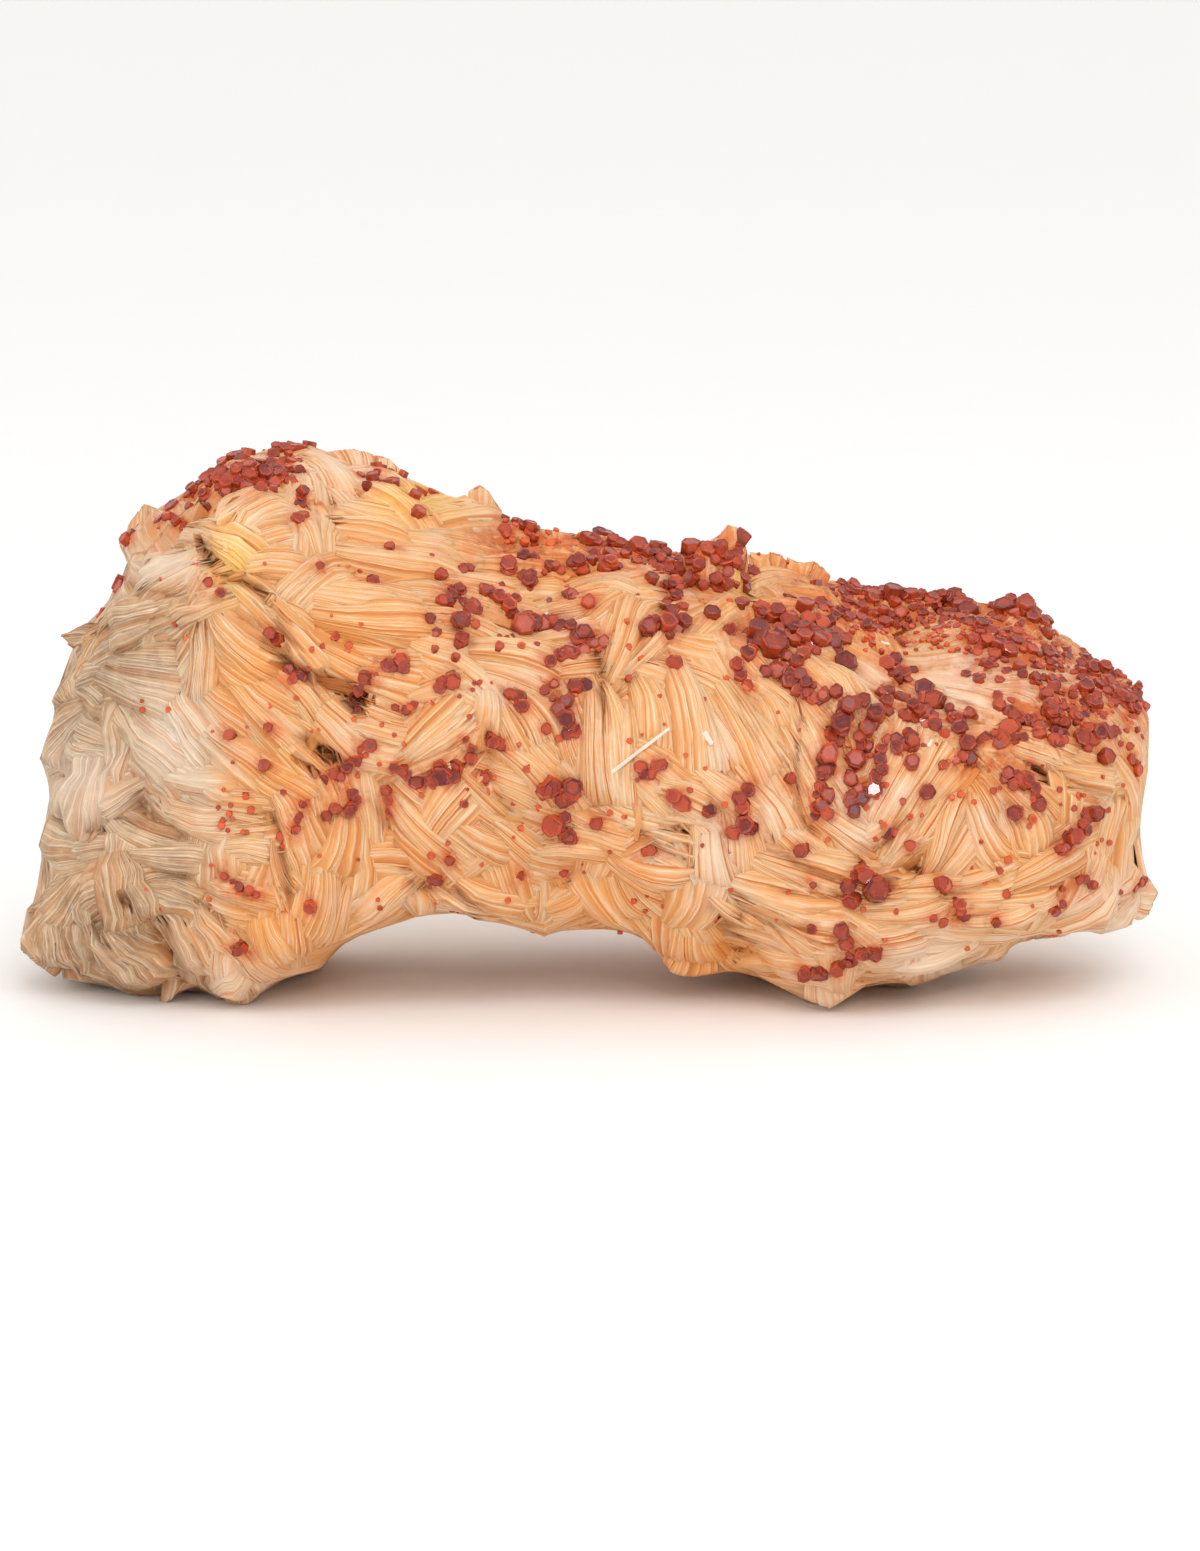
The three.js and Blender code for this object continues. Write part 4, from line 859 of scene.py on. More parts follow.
class Flow:
    """A socket among a material's nodes. Arithmetic on it adds Math nodes."""

    def __init__(self, tree, socket=None):
        self.tree = tree
        self.socket = socket

    def add(self, kind, settings=None, inputs=None, output=0):
        """Adds a node, sets it up, feeds its sockets and gives one of its outputs."""
        node = self.tree.nodes.new(kind)
        for name, value in (settings or {}).items():
            setattr(node, name, value)
        for key, value in (inputs or {}).items():
            if isinstance(value, Flow):
                self.tree.links.new(value.socket, node.inputs[key])
            else:
                node.inputs[key].default_value = value
        return Flow(self.tree, node.outputs[output])

    def math(self, operation, *values, clamp=False):
        settings = {"operation": operation, "use_clamp": clamp}
        return self.add("ShaderNodeMath", settings, dict(enumerate(values)))

    def __add__(self, other):
        return self.math("ADD", self, other)

    def __radd__(self, other):
        return self.math("ADD", other, self)

    def __sub__(self, other):
        return self.math("SUBTRACT", self, other)

    def __rsub__(self, other):
        return self.math("SUBTRACT", other, self)

    def __mul__(self, other):
        return self.math("MULTIPLY", self, other)

    def __rmul__(self, other):
        return self.math("MULTIPLY", other, self)

    def __pow__(self, other):
        return self.math("POWER", self, other)

    def clamped(self):
        return self.math("ADD", self, 0, clamp=True)

    def between(self, low, high):
        """0 below low, 1 above high and smooth between them."""
        settings = {"interpolation_type": "SMOOTHSTEP"}
        return self.add("ShaderNodeMapRange", settings, {0: self, 1: low, 2: high, 3: 0, 4: 1})

    def mix(self, under, over):
        """This value's share of colour over on colour under."""
        settings = {"data_type": "RGBA"}
        return self.add("ShaderNodeMix", settings, {0: self, 6: under, 7: over}, 2)

    def attribute(self, name, output=2):
        return self.add("ShaderNodeAttribute", {"attribute_name": name}, output=output)

    def stretched(self, scale):
        settings = {"operation": "MULTIPLY"}
        return self.add("ShaderNodeVectorMath", settings, {0: self, 1: scale})

    def noise(self, scale, detail=3.0, roughness=0.55):
        inputs = {"Vector": self, "Scale": scale, "Detail": detail, "Roughness": roughness}
        return self.add("ShaderNodeTexNoise", None, inputs)


def new_material(name):
    """A material with a Principled shader, as the shader node and a start for its nodes."""
    material = bpy.data.materials.new(name)
    material.use_nodes = True
    tree = material.node_tree
    return material, tree.nodes["Principled BSDF"], Flow(tree)


def feed(shader, flow, socket):
    flow.tree.links.new(flow.socket, shader.inputs[socket])


def opaque(colour):
    return (*colour, 1.0)


def barite_material(look):
    """Peach barite: painted highlights on the crests, painted shade in the orange grooves, crevices and pits, fine
    streaks along the blades, stains and a few painted highlights by zone.
    """
    material, shader, start = new_material("barite")
    crest, tone = start.attribute("crest"), start.attribute("tone")
    grain = start.attribute("grain", 1)
    place = start.add("ShaderNodeTexCoord", output=3)
    streaks = grain.stretched((0.10, 1.5, 1.0)).noise(1.0, 4.0, 0.6).between(0.32, 0.68)
    fine = grain.stretched((0.22, 5.5, 1.0)).noise(1.0, 3.0, 0.6).between(0.3, 0.7)
    bands = grain.stretched((0.05, 0.5, 1.0)).noise(1.0, 2.0)
    cloud = place.noise(90.0, 3.0)
    mottle = place.noise(420.0, 4.0, 0.6)
    light = (0.06 + 0.3 * tone + 0.58 * streaks + 0.34 * fine + 0.6 * (cloud - 0.5)).clamped()
    colour = light.mix(opaque(look.deep_peach), opaque(look.light_peach))
    warm = bands.between(0.46, 0.7) * (0.3 + 0.5 * streaks)
    colour = warm.clamped().mix(colour, opaque(look.orange))
    colour = (0.6 * place.noise(58.0, 3.0).between(0.5, 0.7)).mix(colour, opaque(look.orange))
    colour = (0.4 * place.noise(73.0, 4.0).between(0.54, 0.7)).mix(colour, opaque(look.pale))
    broken = 0.35 + 1.3 * cloud
    # The grey zones make the left flank greyer and darker, mottled between two tones.
    flank_mottle = (0.8 * place.noise(260.0, 5.0, 0.65) + 0.2 * streaks).between(0.36, 0.64)
    grey = flank_mottle.mix(opaque(look.grey), opaque(look.bleached))
    # The pale zones hold bleached patches and a few painted highlights.
    for kind, tint, strength in (
        ("grey", grey, 0.95), ("warm", opaque(look.deep_peach), 0.45), ("pale", opaque(look.pale), 0.5), ("stain", opaque(look.orange), 0.9),
        ("yellow", opaque(look.yellow), 0.8),
    ):
        share = (start.attribute(kind) * broken * strength).clamped()
        colour = share.mix(colour, tint)
    # Painted shade: a darker, more orange colour in the grooves between the blades.
    groove = (1 - crest).between(0.08, 0.75) * (0.65 + 0.35 * streaks) * (1 - 0.75 * start.attribute("grey"))
    colour = groove.clamped().mix(colour, opaque(look.groove))
    # Painted highlight: a pale colour along the crests of the blades.
    edge = crest.between(0.8, 1.0) * (0.25 + 0.8 * (fine - 0.2))
    colour = (edge * look.crest_highlight_share).clamped().mix(colour, opaque(look.crest_highlight))
    stained = start.attribute("rust")
    rusty = (stained * (0.4 + 1.1 * place.noise(320.0, 4.0, 0.6).between(0.38, 0.62))).clamped()
    colour = rusty.mix(colour, opaque(look.rust))
    earthy = (stained * place.noise(650.0, 4.0, 0.7).between(0.52, 0.64) * 0.75).clamped()
    colour = earthy.mix(colour, opaque(look.earth))
    # Painted shade: brown in the pressed-in crevices, near black in the deepest pits.
    deep = start.attribute("hollow_shade")
    colour = (0.6 * deep.between(0.05, 0.5)).mix(colour, opaque(look.crevice_shade))
    colour = deep.between(0.6, 0.95).mix(colour, opaque(look.hollow_shade))
    feed(shader, colour, "Base Color")
    feed(shader, (look.roughness + 0.25 * (streaks - 0.5) + 0.2 * (mottle - 0.5)).clamped(), "Roughness")
    ridges = streaks * 0.6 + fine * 0.4
    bump = start.add("ShaderNodeBump", None, {"Strength": 0.6, "Distance": 0.0004, "Height": ridges})
    feed(shader, bump, "Normal")
    shader.inputs["Specular IOR Level"].default_value = 0.45
    shader.inputs["Subsurface Weight"].default_value = look.glow
    shader.inputs["Subsurface Radius"].default_value = (1.0, 0.6, 0.35)
    shader.inputs["Subsurface Scale"].default_value = 0.0012
    return material


def vanadinite_material(look):
    """Brown-red resinous crystals: painted shade at the roots, bright thin rims, painted light and shade from face to
    face, a painted pinkish sheen on the end faces, varied from crystal to crystal.
    """
    material, shader, start = new_material("vanadinite")
    tone, rise, rim, facet_light_shade = [start.attribute(name) for name in ("tone", "rise", "rim", "facet_light_shade")]
    place = start.add("ShaderNodeTexCoord", output=3)
    mottle = place.noise(1500.0, 4.0, 0.6)
    cloud = place.noise(420.0, 3.0)
    # Painted light and shade: each face of a crystal gets its own random brightness.
    depth = (0.5 + 0.55 * tone + 0.42 * facet_light_shade + 1.1 * (cloud - 0.5) + 0.5 * (mottle - 0.5)).clamped()
    colour = depth.mix(opaque(look.dark), opaque(look.red))
    bright = (tone - 0.3).between(0.0, 0.8) * (0.55 + 0.35 * facet_light_shade + 0.8 * (cloud - 0.5)) + rim.between(0.8, 1.0) * (0.2 + 0.9 * (mottle - 0.35))
    colour = bright.clamped().mix(colour, opaque(look.orange))
    # Painted sheen: a pinkish colour on the end faces, towards their middle.
    painted_sheen = rise.between(0.8, 1.0) * (1 - rim).between(0.1, 0.6) * (0.25 + 0.4 * facet_light_shade + 1.4 * (mottle - 0.35))
    colour = (painted_sheen * look.sheen_share).clamped().mix(colour, opaque(look.rosy_sheen))
    # Painted shade: darker towards the root, where the crystal leaves the barite.
    colour = ((1 - rise).between(0.3, 0.8) * 0.85).mix(colour, opaque(look.root))
    feed(shader, colour, "Base Color")
    feed(shader, (look.roughness + 0.45 * (mottle - 0.5)).clamped(), "Roughness")
    bump = start.add("ShaderNodeBump", None, {"Strength": 0.3, "Distance": 0.0002, "Height": mottle + cloud})
    feed(shader, bump, "Normal")
    shader.inputs["Specular IOR Level"].default_value = 0.25
    shader.inputs["Coat Weight"].default_value = look.coat
    shader.inputs["Coat Roughness"].default_value = 0.05
    return material


def plate_material(look):
    """Clear white barite with a glassy face, also for the plates that stand in for painted glints."""
    material, shader, start = new_material("clear_barite_and_painted_glints")
    place = start.add("ShaderNodeTexCoord", output=3)
    cloud = place.noise(500.0, 3.0)
    colour = cloud.between(0.3, 0.75).mix(opaque(look.clear), opaque(look.pale))
    feed(shader, colour, "Base Color")
    feed(shader, (0.12 + 0.2 * cloud), "Roughness")
    shader.inputs["Subsurface Weight"].default_value = look.glow
    shader.inputs["Subsurface Scale"].default_value = 0.001
    return material


def floor_material(look):
    material, shader, start = new_material("pale_floor")
    place = start.add("ShaderNodeTexCoord", output=3)
    grain = place.noise(40.0, 4.0)
    low = tuple(0.985 * part for part in look.floor_colour)
    feed(shader, grain.mix(opaque(low), opaque(look.floor_colour)), "Base Color")
    feed(shader, 0.6 + 0.1 * grain, "Roughness")
    shader.inputs["Specular IOR Level"].default_value = 0.2
    return material


def colour_property(name, description, default):
    return FloatVectorProperty(name=name, description=description, default=default, size=3,
                               subtype="COLOR", min=0, max=1)


class BariteLook(bpy.types.PropertyGroup):
    blade_pitch: FloatProperty(name="Blade pitch", description="Usual distance from blade to blade",
                               default=0.0009, unit="LENGTH", min=0.0005, max=0.01)
    light_peach: colour_property("Light peach", "Ground colour where it is light", (0.91, 0.59, 0.315))
    deep_peach: colour_property("Deep peach", "Ground colour where it is deep", (0.74, 0.315, 0.092))
    # Colour of the painted highlight on the blade crests.
    crest_highlight: colour_property("Cream", "Thin crests of the blades", (0.96, 0.81, 0.61))
    # Colour of the painted shade in the grooves between the blades.
    groove: colour_property("Groove", "Between the blades", (0.63, 0.205, 0.045))
    # Greyer, darker colours of the left flank.
    grey: colour_property("Grey", "The weathered left flank", (0.28, 0.15, 0.073))
    bleached: colour_property("Bleached", "Light parts of the weathered flank", (0.51, 0.32, 0.18))
    # Bleached patches, also the colour of a few painted highlights.
    pale: colour_property("Pale", "Bleached patches", (0.88, 0.76, 0.64))
    clear: colour_property("Clear", "Clear plates and the needle", (0.70, 0.56, 0.43))
    orange: colour_property("Orange", "Iron stain", (0.84, 0.33, 0.065))
    yellow: colour_property("Yellow", "Yellow stain by the crest", (0.90, 0.58, 0.14))
    rust: colour_property("Rust", "Red stain round the crystals", (0.66, 0.145, 0.03))
    earth: colour_property("Earth", "Brown grains in the red stain", (0.22, 0.085, 0.028))
    # Colours of the painted shade in the crevices and the pits.
    crevice_shade: colour_property("Crevice", "The crevices between sheaves", (0.36, 0.14, 0.05))
    hollow_shade: colour_property("Hollow", "The dark hollows", (0.07, 0.025, 0.012))
    # How strong the painted highlight on the crests is.
    crest_highlight_share: FloatProperty(name="Edge light", description="How pale the crests are",
                              default=0.7, subtype="FACTOR", min=0, max=1)
    roughness: FloatProperty(name="Roughness", description="Satin of the blades",
                             default=0.48, subtype="FACTOR", min=0, max=1)
    glow: FloatProperty(name="Glow", description="How far light goes into the blades",
                        default=0.15, subtype="FACTOR", min=0, max=1)


class VanadiniteLook(bpy.types.PropertyGroup):
    red: colour_property("Red", "Usual brown-red", (0.46, 0.055, 0.017))
    dark: colour_property("Dark", "Dark crystals", (0.12, 0.010, 0.008))
    # Colour of the painted shade where a crystal leaves the barite.
    root: colour_property("Root", "Where a crystal leaves the barite", (0.10, 0.008, 0.005))
    orange: colour_property("Orange", "Thin bright crystals", (0.70, 0.12, 0.022))
    # Colour and share of the painted sheen on the end faces.
    rosy_sheen: colour_property("Rosy", "Dull bloom on the end faces", (0.48, 0.115, 0.06))
    sheen_share: FloatProperty(name="Bloom", description="Share of the dull bloom",
                        default=0.3, subtype="FACTOR", min=0, max=1)
    roughness: FloatProperty(name="Roughness", description="Resinous lustre",
                             default=0.24, subtype="FACTOR", min=0, max=1)
    coat: FloatProperty(name="Lustre", description="Weight of the clear lustre",
                        default=0.3, subtype="FACTOR", min=0, max=1)
    bevel: FloatProperty(name="Bevel", description="Width of the worn edges over the diameter",
                         default=0.05, subtype="FACTOR", min=0, max=0.2)
    seed: IntProperty(name="Seed", description="Spread of the small crystals", default=7)


class StageLook(bpy.types.PropertyGroup):
    floor_colour: colour_property("Floor", "Colour of the floor", (0.93, 0.93, 0.93))
    floor_size: FloatProperty(name="Floor size", description="Side of the floor", default=24, unit="LENGTH")
    sky: FloatProperty(name="Sky", description="Strength of the even light", default=1.0, min=0)
    key: FloatProperty(name="Key light", description="Power of the main light", default=4.2, unit="POWER")
    glint: FloatProperty(name="Glint light", description="Power of the small front light", default=0.8, unit="POWER")
    fill: FloatProperty(name="Fill light", description="Power of the side light", default=1.6, unit="POWER")


def gathered(sheets):
    """Joined values of many sheaves, and their faces."""
    joined = {key: np.concatenate([sheet[key] for sheet in sheets]) for key in sheets[0] if key != "faces"}
    faces, start = [], 0
    for sheet in sheets:
        faces.extend([[corner + start for corner in face] for face in sheet["faces"]])
        start += len(sheet["points"])
    return joined, faces


def knobs(points):
    """Uneven heights of weathered barite."""
    wave = np.zeros(len(points))
    for i in range(KNOB_WAVES):
        way = np.array([wobble(7 * i + k) for k in (1, 2, 3)])
        wave += np.sin(points @ unit(way) * KNOB_PITCH * (1 + 0.5 * wobble(i + 50)) + 6 * wobble(i))
    return wave / math.sqrt(KNOB_WAVES)


def barite_values(rim, points):
    """Values of a barite piece's points that come from their place."""
    shares = zone_shares(points)
    uneven = knobs(points) * (PLAIN_KNOBS + (FLANK_KNOBS - PLAIN_KNOBS) * shares["grey"])
    points = points + uneven[:, None] * unit(points - LUMP_HEART)
    points, hollow_shade = pressed_in(drawn_in(rim.stretched(points)))
    points[:, 2] = np.maximum(points[:, 2], FLOOR_CLEARANCE)
    return points, shares | {"hollow_shade": hollow_shade}


class MINERAL_OT_barite(bpy.types.Operator):
    """Makes the barite matrix: its core, and sheaves of blades on the front and the back"""
    bl_idname = "mineral.barite"
    bl_label = "Barite matrix"

    def execute(self, context):
        look = context.scene.barite_look
        made["barite"] = barite_material(look)
        made["surface"] = []
        made["barite_pieces"] = []
        coarse = as_tree(*lump_mesh(*COARSE_LUMP))
        fine = as_tree(*lump_mesh(*FINE_LUMP))
        made["lump"] = coarse
        rng = np.random.default_rng(11)
        groups = {}
        pitch = look.blade_pitch / MM
        for side, sheaves in (("front", front_sheaves(coarse)), ("back", hidden_sheaves(coarse))):
            for place, way, size, layers in sheaves:
                hand = HANDS[side][int(np.searchsorted(PARTINGS[side], place[0][0]))]
                group = groups.setdefault(hand, [])
                for layer in layers:
                    sheaf_look = layer_look(layer, rng, pitch * (BACK_PITCH if side == "back" else 1))
                    group.append(sheaf_sheet(rng, fine, place, way, size, sheaf_look))
        joined = {name: gathered(sheets) for name, sheets in groups.items()}
        rim = Rim(np.concatenate([values["points"] for values, _ in joined.values()]))
        self.make_core(rim)
        for name, (values, faces) in joined.items():
            points, placed = barite_values(rim, values.pop("points"))
            self.keep(f"barite_{name}_blades", points, faces, values | placed)
        return {"FINISHED"}

    def make_core(self, rim):
        points, faces = lump_mesh(*FINE_LUMP)
        inwards = unit(points - LUMP_HEART)
        points, values = barite_values(rim, points - CORE_SINK * inwards)
        grain = points * np.array([1, 0.5, 1])
        plain = {"crest": np.full(len(points), 0.8), "tone": np.full(len(points), 0.0), "grain": grain,
                 "reach": np.zeros(len(points))}
        self.keep("barite_core", points, faces, plain | values, ("barite_matrix",))

    def keep(self, name, points, faces, values, replaced=()):
        piece = new_piece(name, points, faces, values, made["barite"], replaced)
        piece.data.shade_smooth()
        piece.data.set_sharp_from_angle(angle=SHARP_ANGLE)
        made["barite_pieces"].append(piece)
        made["surface"].append((points, faces))


def surface_tree():
    """All the barite's faces, for seating crystals on."""
    points, faces, start = [], [], 0
    for piece_points, piece_faces in made["surface"]:
        points.append(piece_points)
        faces.extend([[corner + start for corner in face] for face in piece_faces])
        start += len(piece_points)
    return as_tree(np.concatenate(points), faces)


def seat(tree, x, height):
    """A place to grow on the barite, with the way out smoothed over the blades round it."""
    point, normal = sighted(tree, x, height)
    ways = [normal, sighted(made["lump"], x, height)[1] * 2, TOWARDS_EYE * 0.6]
    for angle in np.arange(0, 2 * math.pi, math.pi / 3):
        target = point + 1.2 * (math.cos(angle) * np.array([1, 0, 0]) + math.sin(angle) * UP_IN_SIGHT)
        _, near, _, _ = tree.ray_cast(Vector(EYE), Vector(target - EYE).normalized())
        if near is not None:
            ways.append(np.array(near) * 0.5)
    return point, unit(sum(ways))


def along_row(places, spacing, count):
    """Places along a row's line, evenly spaced from its start."""
    places = np.array(places, float)
    if len(places) == 1:
        return np.repeat(places, count, axis=0)
    steps = np.linalg.norm(np.diff(places, axis=0), axis=1)
    run = np.concatenate([[0], np.cumsum(steps)])
    at = np.minimum(np.arange(count) * spacing, run[-1])
    return np.stack([np.interp(at, run, places[:, k]) for k in range(2)], axis=-1)


def row_length(places):
    return float(np.sum(np.linalg.norm(np.diff(np.array(places, float), axis=0), axis=1)))


def crystal_template(look):
    """A short hexagonal prism with worn edges and a stepped end, standing on z = 0, 1 across."""
    bm = bmesh.new()
    bmesh.ops.create_cone(bm, cap_ends=True, segments=6, radius1=0.5, radius2=0.47, depth=1)
    bmesh.ops.translate(bm, verts=bm.verts, vec=(0, 0, 0.5))
    bmesh.ops.bevel(bm, geom=bm.edges[:], offset=look.bevel, affect="EDGES", segments=1,
                    profile=0.5, material=-1)
    top = max(bm.faces, key=lambda face: face.calc_center_median().z)
    bmesh.ops.inset_region(bm, faces=[top], thickness=0.1, depth=-0.04)
    bm.verts.index_update()
    points = np.array([v.co for v in bm.verts])
    faces = [[v.index for v in face.verts] for face in bm.faces]
    bm.free()
    return points, faces


class Crystals:
    """Crystals gathered for one piece, each from the template."""

    def __init__(self, template):
        self.points, self.faces = template
        self.grown = []
        self.tones = []
        self.roots = []

    def grow(self, place, size, slenderness, lean, spin, tone):
        point, normal = place
        axis = unit(normal + lean)
        aside = np.array([1.0, 0, 0]) if abs(axis[0]) < 0.8 else np.array([0, 1.0, 0])
        first = unit(np.cross(aside, axis))
        second = np.cross(axis, first)
        turned = np.array([[math.cos(spin), -math.sin(spin)], [math.sin(spin), math.cos(spin)]])
        around = np.arctan2(self.points[:, 1], self.points[:, 0])
        uneven = 1 + UNEVEN * (wobble(spin + 3) * np.cos(2 * around) + wobble(spin + 5) * np.sin(3 * around))
        flat = (self.points[:, :2] * uneven[:, None]) @ turned.T * size
        root = ROOT_SHARE * size * (1 + 0.35 * wobble(spin + 7))
        up = self.points[:, 2] * size * slenderness - root
        self.grown.append(point + flat[:, :1] * first + flat[:, 1:] * second + up[:, None] * axis)
        self.tones.append(tone)
        self.roots.append(point)

    def drop_outside(self):
        """Leaves out the crystals that would stand out too far past the outline."""
        tips = np.array([points[self.points[:, 2].argmax()] for points in self.grown])
        kept = np.flatnonzero(off_outline(*as_sighted(tips))[0] < MOST_OUTSIDE)
        self.grown, self.tones, self.roots = [
            [values[i] for i in kept] for values in (self.grown, self.tones, self.roots)
        ]

    def make(self, name, replaced=()):
        copies = len(self.grown)
        points = np.concatenate(self.grown)
        points[:, 2] = np.maximum(points[:, 2], FLOOR_CLEARANCE)
        rim = np.clip(2 * np.hypot(self.points[:, 0], self.points[:, 1]), 0, 1)
        values = {"tone": np.repeat(self.tones, len(self.points)),
                  "rise": np.tile(self.points[:, 2], copies), "rim": np.tile(rim, copies)}
        faces = copied_faces(self.faces, len(self.points), copies)
        # A random painted light and shade for each face of the crystals.
        values["facet_light_shade"] = wobble(np.arange(len(faces)) + len(faces))
        return new_piece(name, points, faces, values, made["vanadinite"], replaced)


def scatter(rng):
    return rng.uniform(-1, 1, 3)


class MINERAL_OT_vanadinite(bpy.types.Operator):
    """Makes the vanadinite: the named rows, the small groups, the crusts, and stain round them"""
    bl_idname = "mineral.vanadinite"
    bl_label = "Vanadinite crystals"

    def execute(self, context):
        look = context.scene.vanadinite_look
        made["vanadinite"] = vanadinite_material(look)
        self.template = crystal_template(look)
        self.tree = surface_tree()
        self.rng = np.random.default_rng(look.seed)
        self.roots = []
        for index, row in enumerate(CRYSTAL_ROWS):
            self.make_row(index, *row)
        self.make_small_groups()
        self.make_crusts()
        self.make_back()
        self.stain()
        return {"FINISHED"}

    def seated(self, x, height):
        return seat(self.tree, x, height)

    def loose(self, crystals, x, height, size, tone):
        rng = self.rng
        crystals.grow(self.seated(x, height), size, rng.uniform(0.6, 0.85), LOOSE_TILT * scatter(rng),
                      rng.uniform(0, 3), tone + rng.uniform(-0.5, 0.5))

    def make_row(self, index, name, places, count, diameter):
        crystals = Crystals(self.template)
        length = row_length(places)
        spacing = min(ROW_SPACING * diameter, length / max(1, count - 1))
        for i, (x, height) in enumerate(along_row(places, spacing, count)):
            seed = 100 * index + i
            lean = CRYSTAL_TILT * np.array([wobble(seed + k) for k in (7, 13, 19)])
            size = ROW_SHARE * diameter * (1 + SIZE_SPREAD * wobble(seed))
            tall = (CRUST_SLENDERNESS if name.endswith("_crust") else SLENDERNESS) * (0.85 + 0.2 * wobble(seed + 3))
            crystals.grow(self.seated(x, height), size, tall, lean, math.pi * wobble(seed + 29),
                          0.6 * wobble(seed + 41))
        if count > 1:
            fills = int(2 * length / (FILL_SPACING * diameter)) + 4
            for x, height in along_row(places, FILL_SPACING * diameter / 2, fills):
                aside = self.rng.normal(0, 0.2 * diameter, 2)
                size = diameter * self.rng.uniform(0.4, 0.8)
                self.loose(crystals, x + aside[0], height + aside[1], size, -0.1)
        self.roots += crystals.roots
        crystals.make(f"{name}_crystals", (f"vanadinite_{name}",))

    def make_small_groups(self):
        crystals = Crystals(self.template)
        for places, count, diameter in SMALL_GROUPS:
            spacing = row_length(places) / max(1, count - 1)
            for x, height in along_row(places, spacing, count):
                aside = self.rng.normal(0, 0.15 * diameter, 2) * (count > 1)
                size = diameter * self.rng.uniform(0.8, 1.15)
                self.loose(crystals, x + aside[0], height + aside[1], size, 0.1)
        crystals.drop_outside()
        self.roots += crystals.roots
        crystals.make("small_crystals")

    def make_crusts(self):
        crystals = Crystals(self.template)
        for left, right, low, high, count, least, most in CRUSTS:
            for _ in range(count):
                x, height = self.rng.uniform(left, right), self.rng.uniform(low, high)
                size = least + (most - least) * self.rng.random() ** 1.6
                self.loose(crystals, x, height, size, 0.85 if most < 2 else 0.1)
        crystals.drop_outside()
        crystals.make("crust_crystals")

    def make_back(self):
        crystals = Crystals(self.template)
        rng = self.rng
        while len(crystals.grown) < BACK_CRYSTALS:
            x = rng.uniform(HIDDEN_X[0] + 4, HIDDEN_X[1] - 4)
            turn = math.radians(rng.uniform(75, 200) if rng.random() < 0.8 else rng.uniform(75, 120))
            for _ in range(rng.integers(1, 7)):
                place = round_about(self.tree, x + rng.normal(0, 2.5), turn + rng.normal(0, 0.06))
                lump_normal = round_about(made["lump"], x, turn)[1]
                crystals.grow((place[0], unit(place[1] + 2 * lump_normal)), rng.uniform(*BACK_DIAMETER),
                              rng.uniform(0.55, 1.0), LOOSE_TILT * scatter(rng), rng.uniform(0, 3),
                              rng.uniform(-0.6, 0.6))
        crystals.drop_outside()
        self.roots += crystals.roots
        crystals.make("back_crystals")

    def stain(self):
        """Reddens the barite close to the crystals."""
        near = KDTree(len(self.roots))
        for i, root in enumerate(self.roots):
            near.insert(Vector(root), i)
        near.balance()
        for piece, (points, _) in zip(made["barite_pieces"], made["surface"]):
            away = np.array([near.find(point)[2] for point in points.tolist()])
            layer = piece.data.attributes["rust"]
            zones = np.zeros(len(points), np.float32)
            layer.data.foreach_get("value", zones)
            rust = np.maximum(zones, 0.75 * np.exp(-np.maximum(away - 0.9, 0) / 0.9))
            layer.data.foreach_set("value", rust.astype(np.float32))


class MINERAL_OT_plates(bpy.types.Operator):
    """Makes the clear white plates, some of them painted glints, and the needle that lie on the barite"""
    bl_idname = "mineral.plates"
    bl_label = "Clear plates"

    def execute(self, context):
        look = context.scene.barite_look
        tree = surface_tree()
        bm = bmesh.new()
        for i, (x, height, length, degrees) in enumerate(PLATES):
            place = seat(tree, x, height)
            self.lay(bm, place, front_way(degrees), (length, 0.45 * length, 0.4), 0.3 * wobble(i))
        (x0, h0), (x1, h1) = NEEDLE
        ends = [sighted(tree, x0, h0)[0], sighted(tree, x1, h1)[0]]
        middle = (ends[0] + ends[1]) / 2
        between = [sighted(tree, *(np.array(NEEDLE[0]) + k * np.subtract(*NEEDLE[::-1])))[0] for k in (0.25, 0.5, 0.75)]
        middle = middle + max(0.4, max((spot - middle) @ TOWARDS_EYE for spot in between)) * TOWARDS_EYE
        reach = float(np.linalg.norm(ends[1] - ends[0]))
        self.lay(bm, (middle, TOWARDS_EYE), unit(ends[1] - ends[0]), (reach, 0.65, 0.6), 0.1)
        mesh = bpy.data.meshes.new("plates_needle_and_painted_glints")
        bmesh.ops.scale(bm, verts=bm.verts, vec=(MM, MM, MM))
        bm.to_mesh(mesh)
        bm.free()
        mesh.materials.append(plate_material(look))
        plates = bpy.data.objects.new("plates_needle_and_painted_glints", mesh)
        context.scene.collection.objects.link(plates)
        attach(plates, "root")
        return {"FINISHED"}

    def lay(self, bm, place, way, size, lean):
        point, normal = place
        along = unit(way - normal * (way @ normal))
        across = unit(np.cross(normal, along) + lean * normal)
        out = np.cross(along, across)
        cube = bmesh.ops.create_cube(bm, size=1)["verts"]
        for vert in cube:
            local = np.array(vert.co) * np.array(size)
            taper = 1 - 0.35 * (vert.co.x > 0)
            vert.co = Vector(point + local[0] * along + taper * local[1] * across + (local[2] + 0.1) * out)
        edges = list({edge for vert in cube for edge in vert.link_edges})
        bmesh.ops.bevel(bm, geom=edges, offset=0.1, affect="EDGES", segments=1, profile=0.5, material=-1)


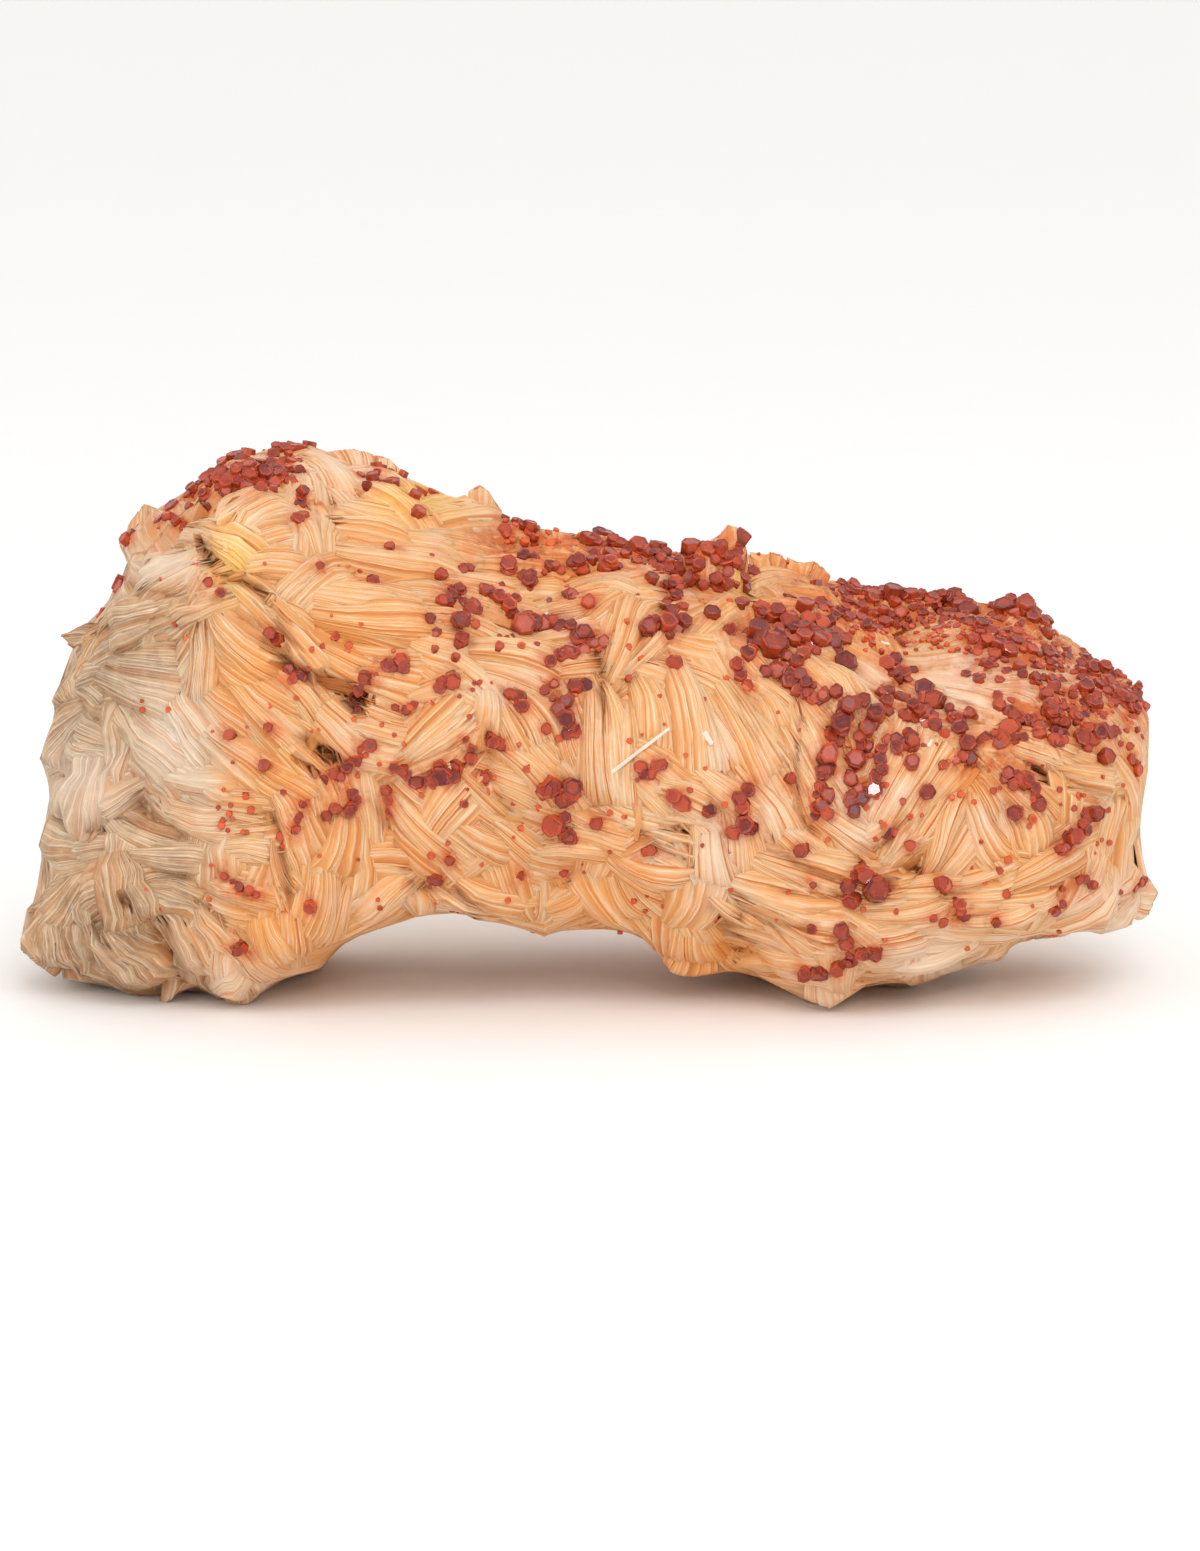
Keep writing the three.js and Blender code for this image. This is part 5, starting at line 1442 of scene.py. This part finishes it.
class MINERAL_OT_stage(bpy.types.Operator):
    """Makes the pale floor, the soft lights and the camera"""
    bl_idname = "mineral.stage"
    bl_label = "Stage"

    def execute(self, context):
        look = context.scene.stage_look
        scene = context.scene
        mesh = bpy.data.meshes.new("floor")
        bm = bmesh.new()
        bmesh.ops.create_grid(bm, x_segments=1, y_segments=1, size=look.floor_size / 2)
        bm.to_mesh(mesh)
        bm.free()
        mesh.materials.append(floor_material(look))
        floor = bpy.data.objects.new("floor", mesh)
        scene.collection.objects.link(floor)
        world = bpy.data.worlds.new("soft_sky")
        scene.world = world
        world.use_nodes = True
        sky = world.node_tree.nodes["Background"]
        sky.inputs["Color"].default_value = (1.0, 0.99, 0.97, 1)
        sky.inputs["Strength"].default_value = look.sky
        self.lamp(scene, "key_light", (0.22, -0.8, 0.95), 0.7, look.key)
        self.lamp(scene, "fill_light", (-0.8, -0.6, 0.5), 0.6, look.fill)
        self.lamp(scene, "glint_light", (0.12, -1.0, 0.55), 0.06, look.glint)
        self.camera(scene)
        scene.view_settings.view_transform = "Standard"
        return {"FINISHED"}

    def lamp(self, scene, name, location, size, power):
        data = bpy.data.lights.new(name, "AREA")
        data.size = size
        data.energy = power
        lamp = bpy.data.objects.new(name, data)
        lamp.location = location
        aim = Vector((0, 0, 0.04)) - lamp.location
        lamp.rotation_euler = aim.to_track_quat("-Z", "Y").to_euler()
        scene.collection.objects.link(lamp)

    def camera(self, scene):
        data = bpy.data.cameras.new("camera")
        data.sensor_width = SENSOR
        data.lens = SENSOR * SIGHT_DISTANCE / VIEW_HEIGHT
        camera = bpy.data.objects.new("camera", data)
        target = SIGHT_CENTRE + np.array([VIEW_MIDDLE[0], 0, 0]) + VIEW_MIDDLE[1] * UP_IN_SIGHT
        camera.location = Vector(EYE * MM)
        camera.rotation_euler = Vector(target - EYE).to_track_quat("-Z", "Y").to_euler()
        scene.collection.objects.link(camera)
        scene.camera = camera


class MINERAL_PT_panel(bpy.types.Panel):
    """Sizes, colours and makers of the specimen"""
    bl_idname = "MINERAL_PT_panel"
    bl_label = "Vanadinite on matrix"
    bl_space_type = "VIEW_3D"
    bl_region_type = "UI"
    bl_category = "Mineral"

    def draw(self, context):
        scene = context.scene
        for look in (scene.barite_look, scene.vanadinite_look, scene.stage_look):
            box = self.layout.box()
            for name in look.__annotations__:
                box.prop(look, name)
        for maker in MAKERS:
            self.layout.operator(maker.bl_idname)


LOOKS = {"barite_look": BariteLook, "vanadinite_look": VanadiniteLook, "stage_look": StageLook}
MAKERS = (MINERAL_OT_barite, MINERAL_OT_vanadinite, MINERAL_OT_plates, MINERAL_OT_stage)


def register():
    for cls in (*LOOKS.values(), *MAKERS, MINERAL_PT_panel):
        bpy.utils.register_class(cls)
    for name, cls in LOOKS.items():
        setattr(bpy.types.Scene, name, PointerProperty(type=cls))


def unregister():
    for name in LOOKS:
        delattr(bpy.types.Scene, name)
    for cls in (MINERAL_PT_panel, *reversed(MAKERS), *reversed(LOOKS.values())):
        bpy.utils.unregister_class(cls)


def main():
    register()
    bpy.ops.mineral.barite()
    bpy.ops.mineral.vanadinite()
    bpy.ops.mineral.plates()
    bpy.ops.mineral.stage()


if __name__ == "__main__":
    main()
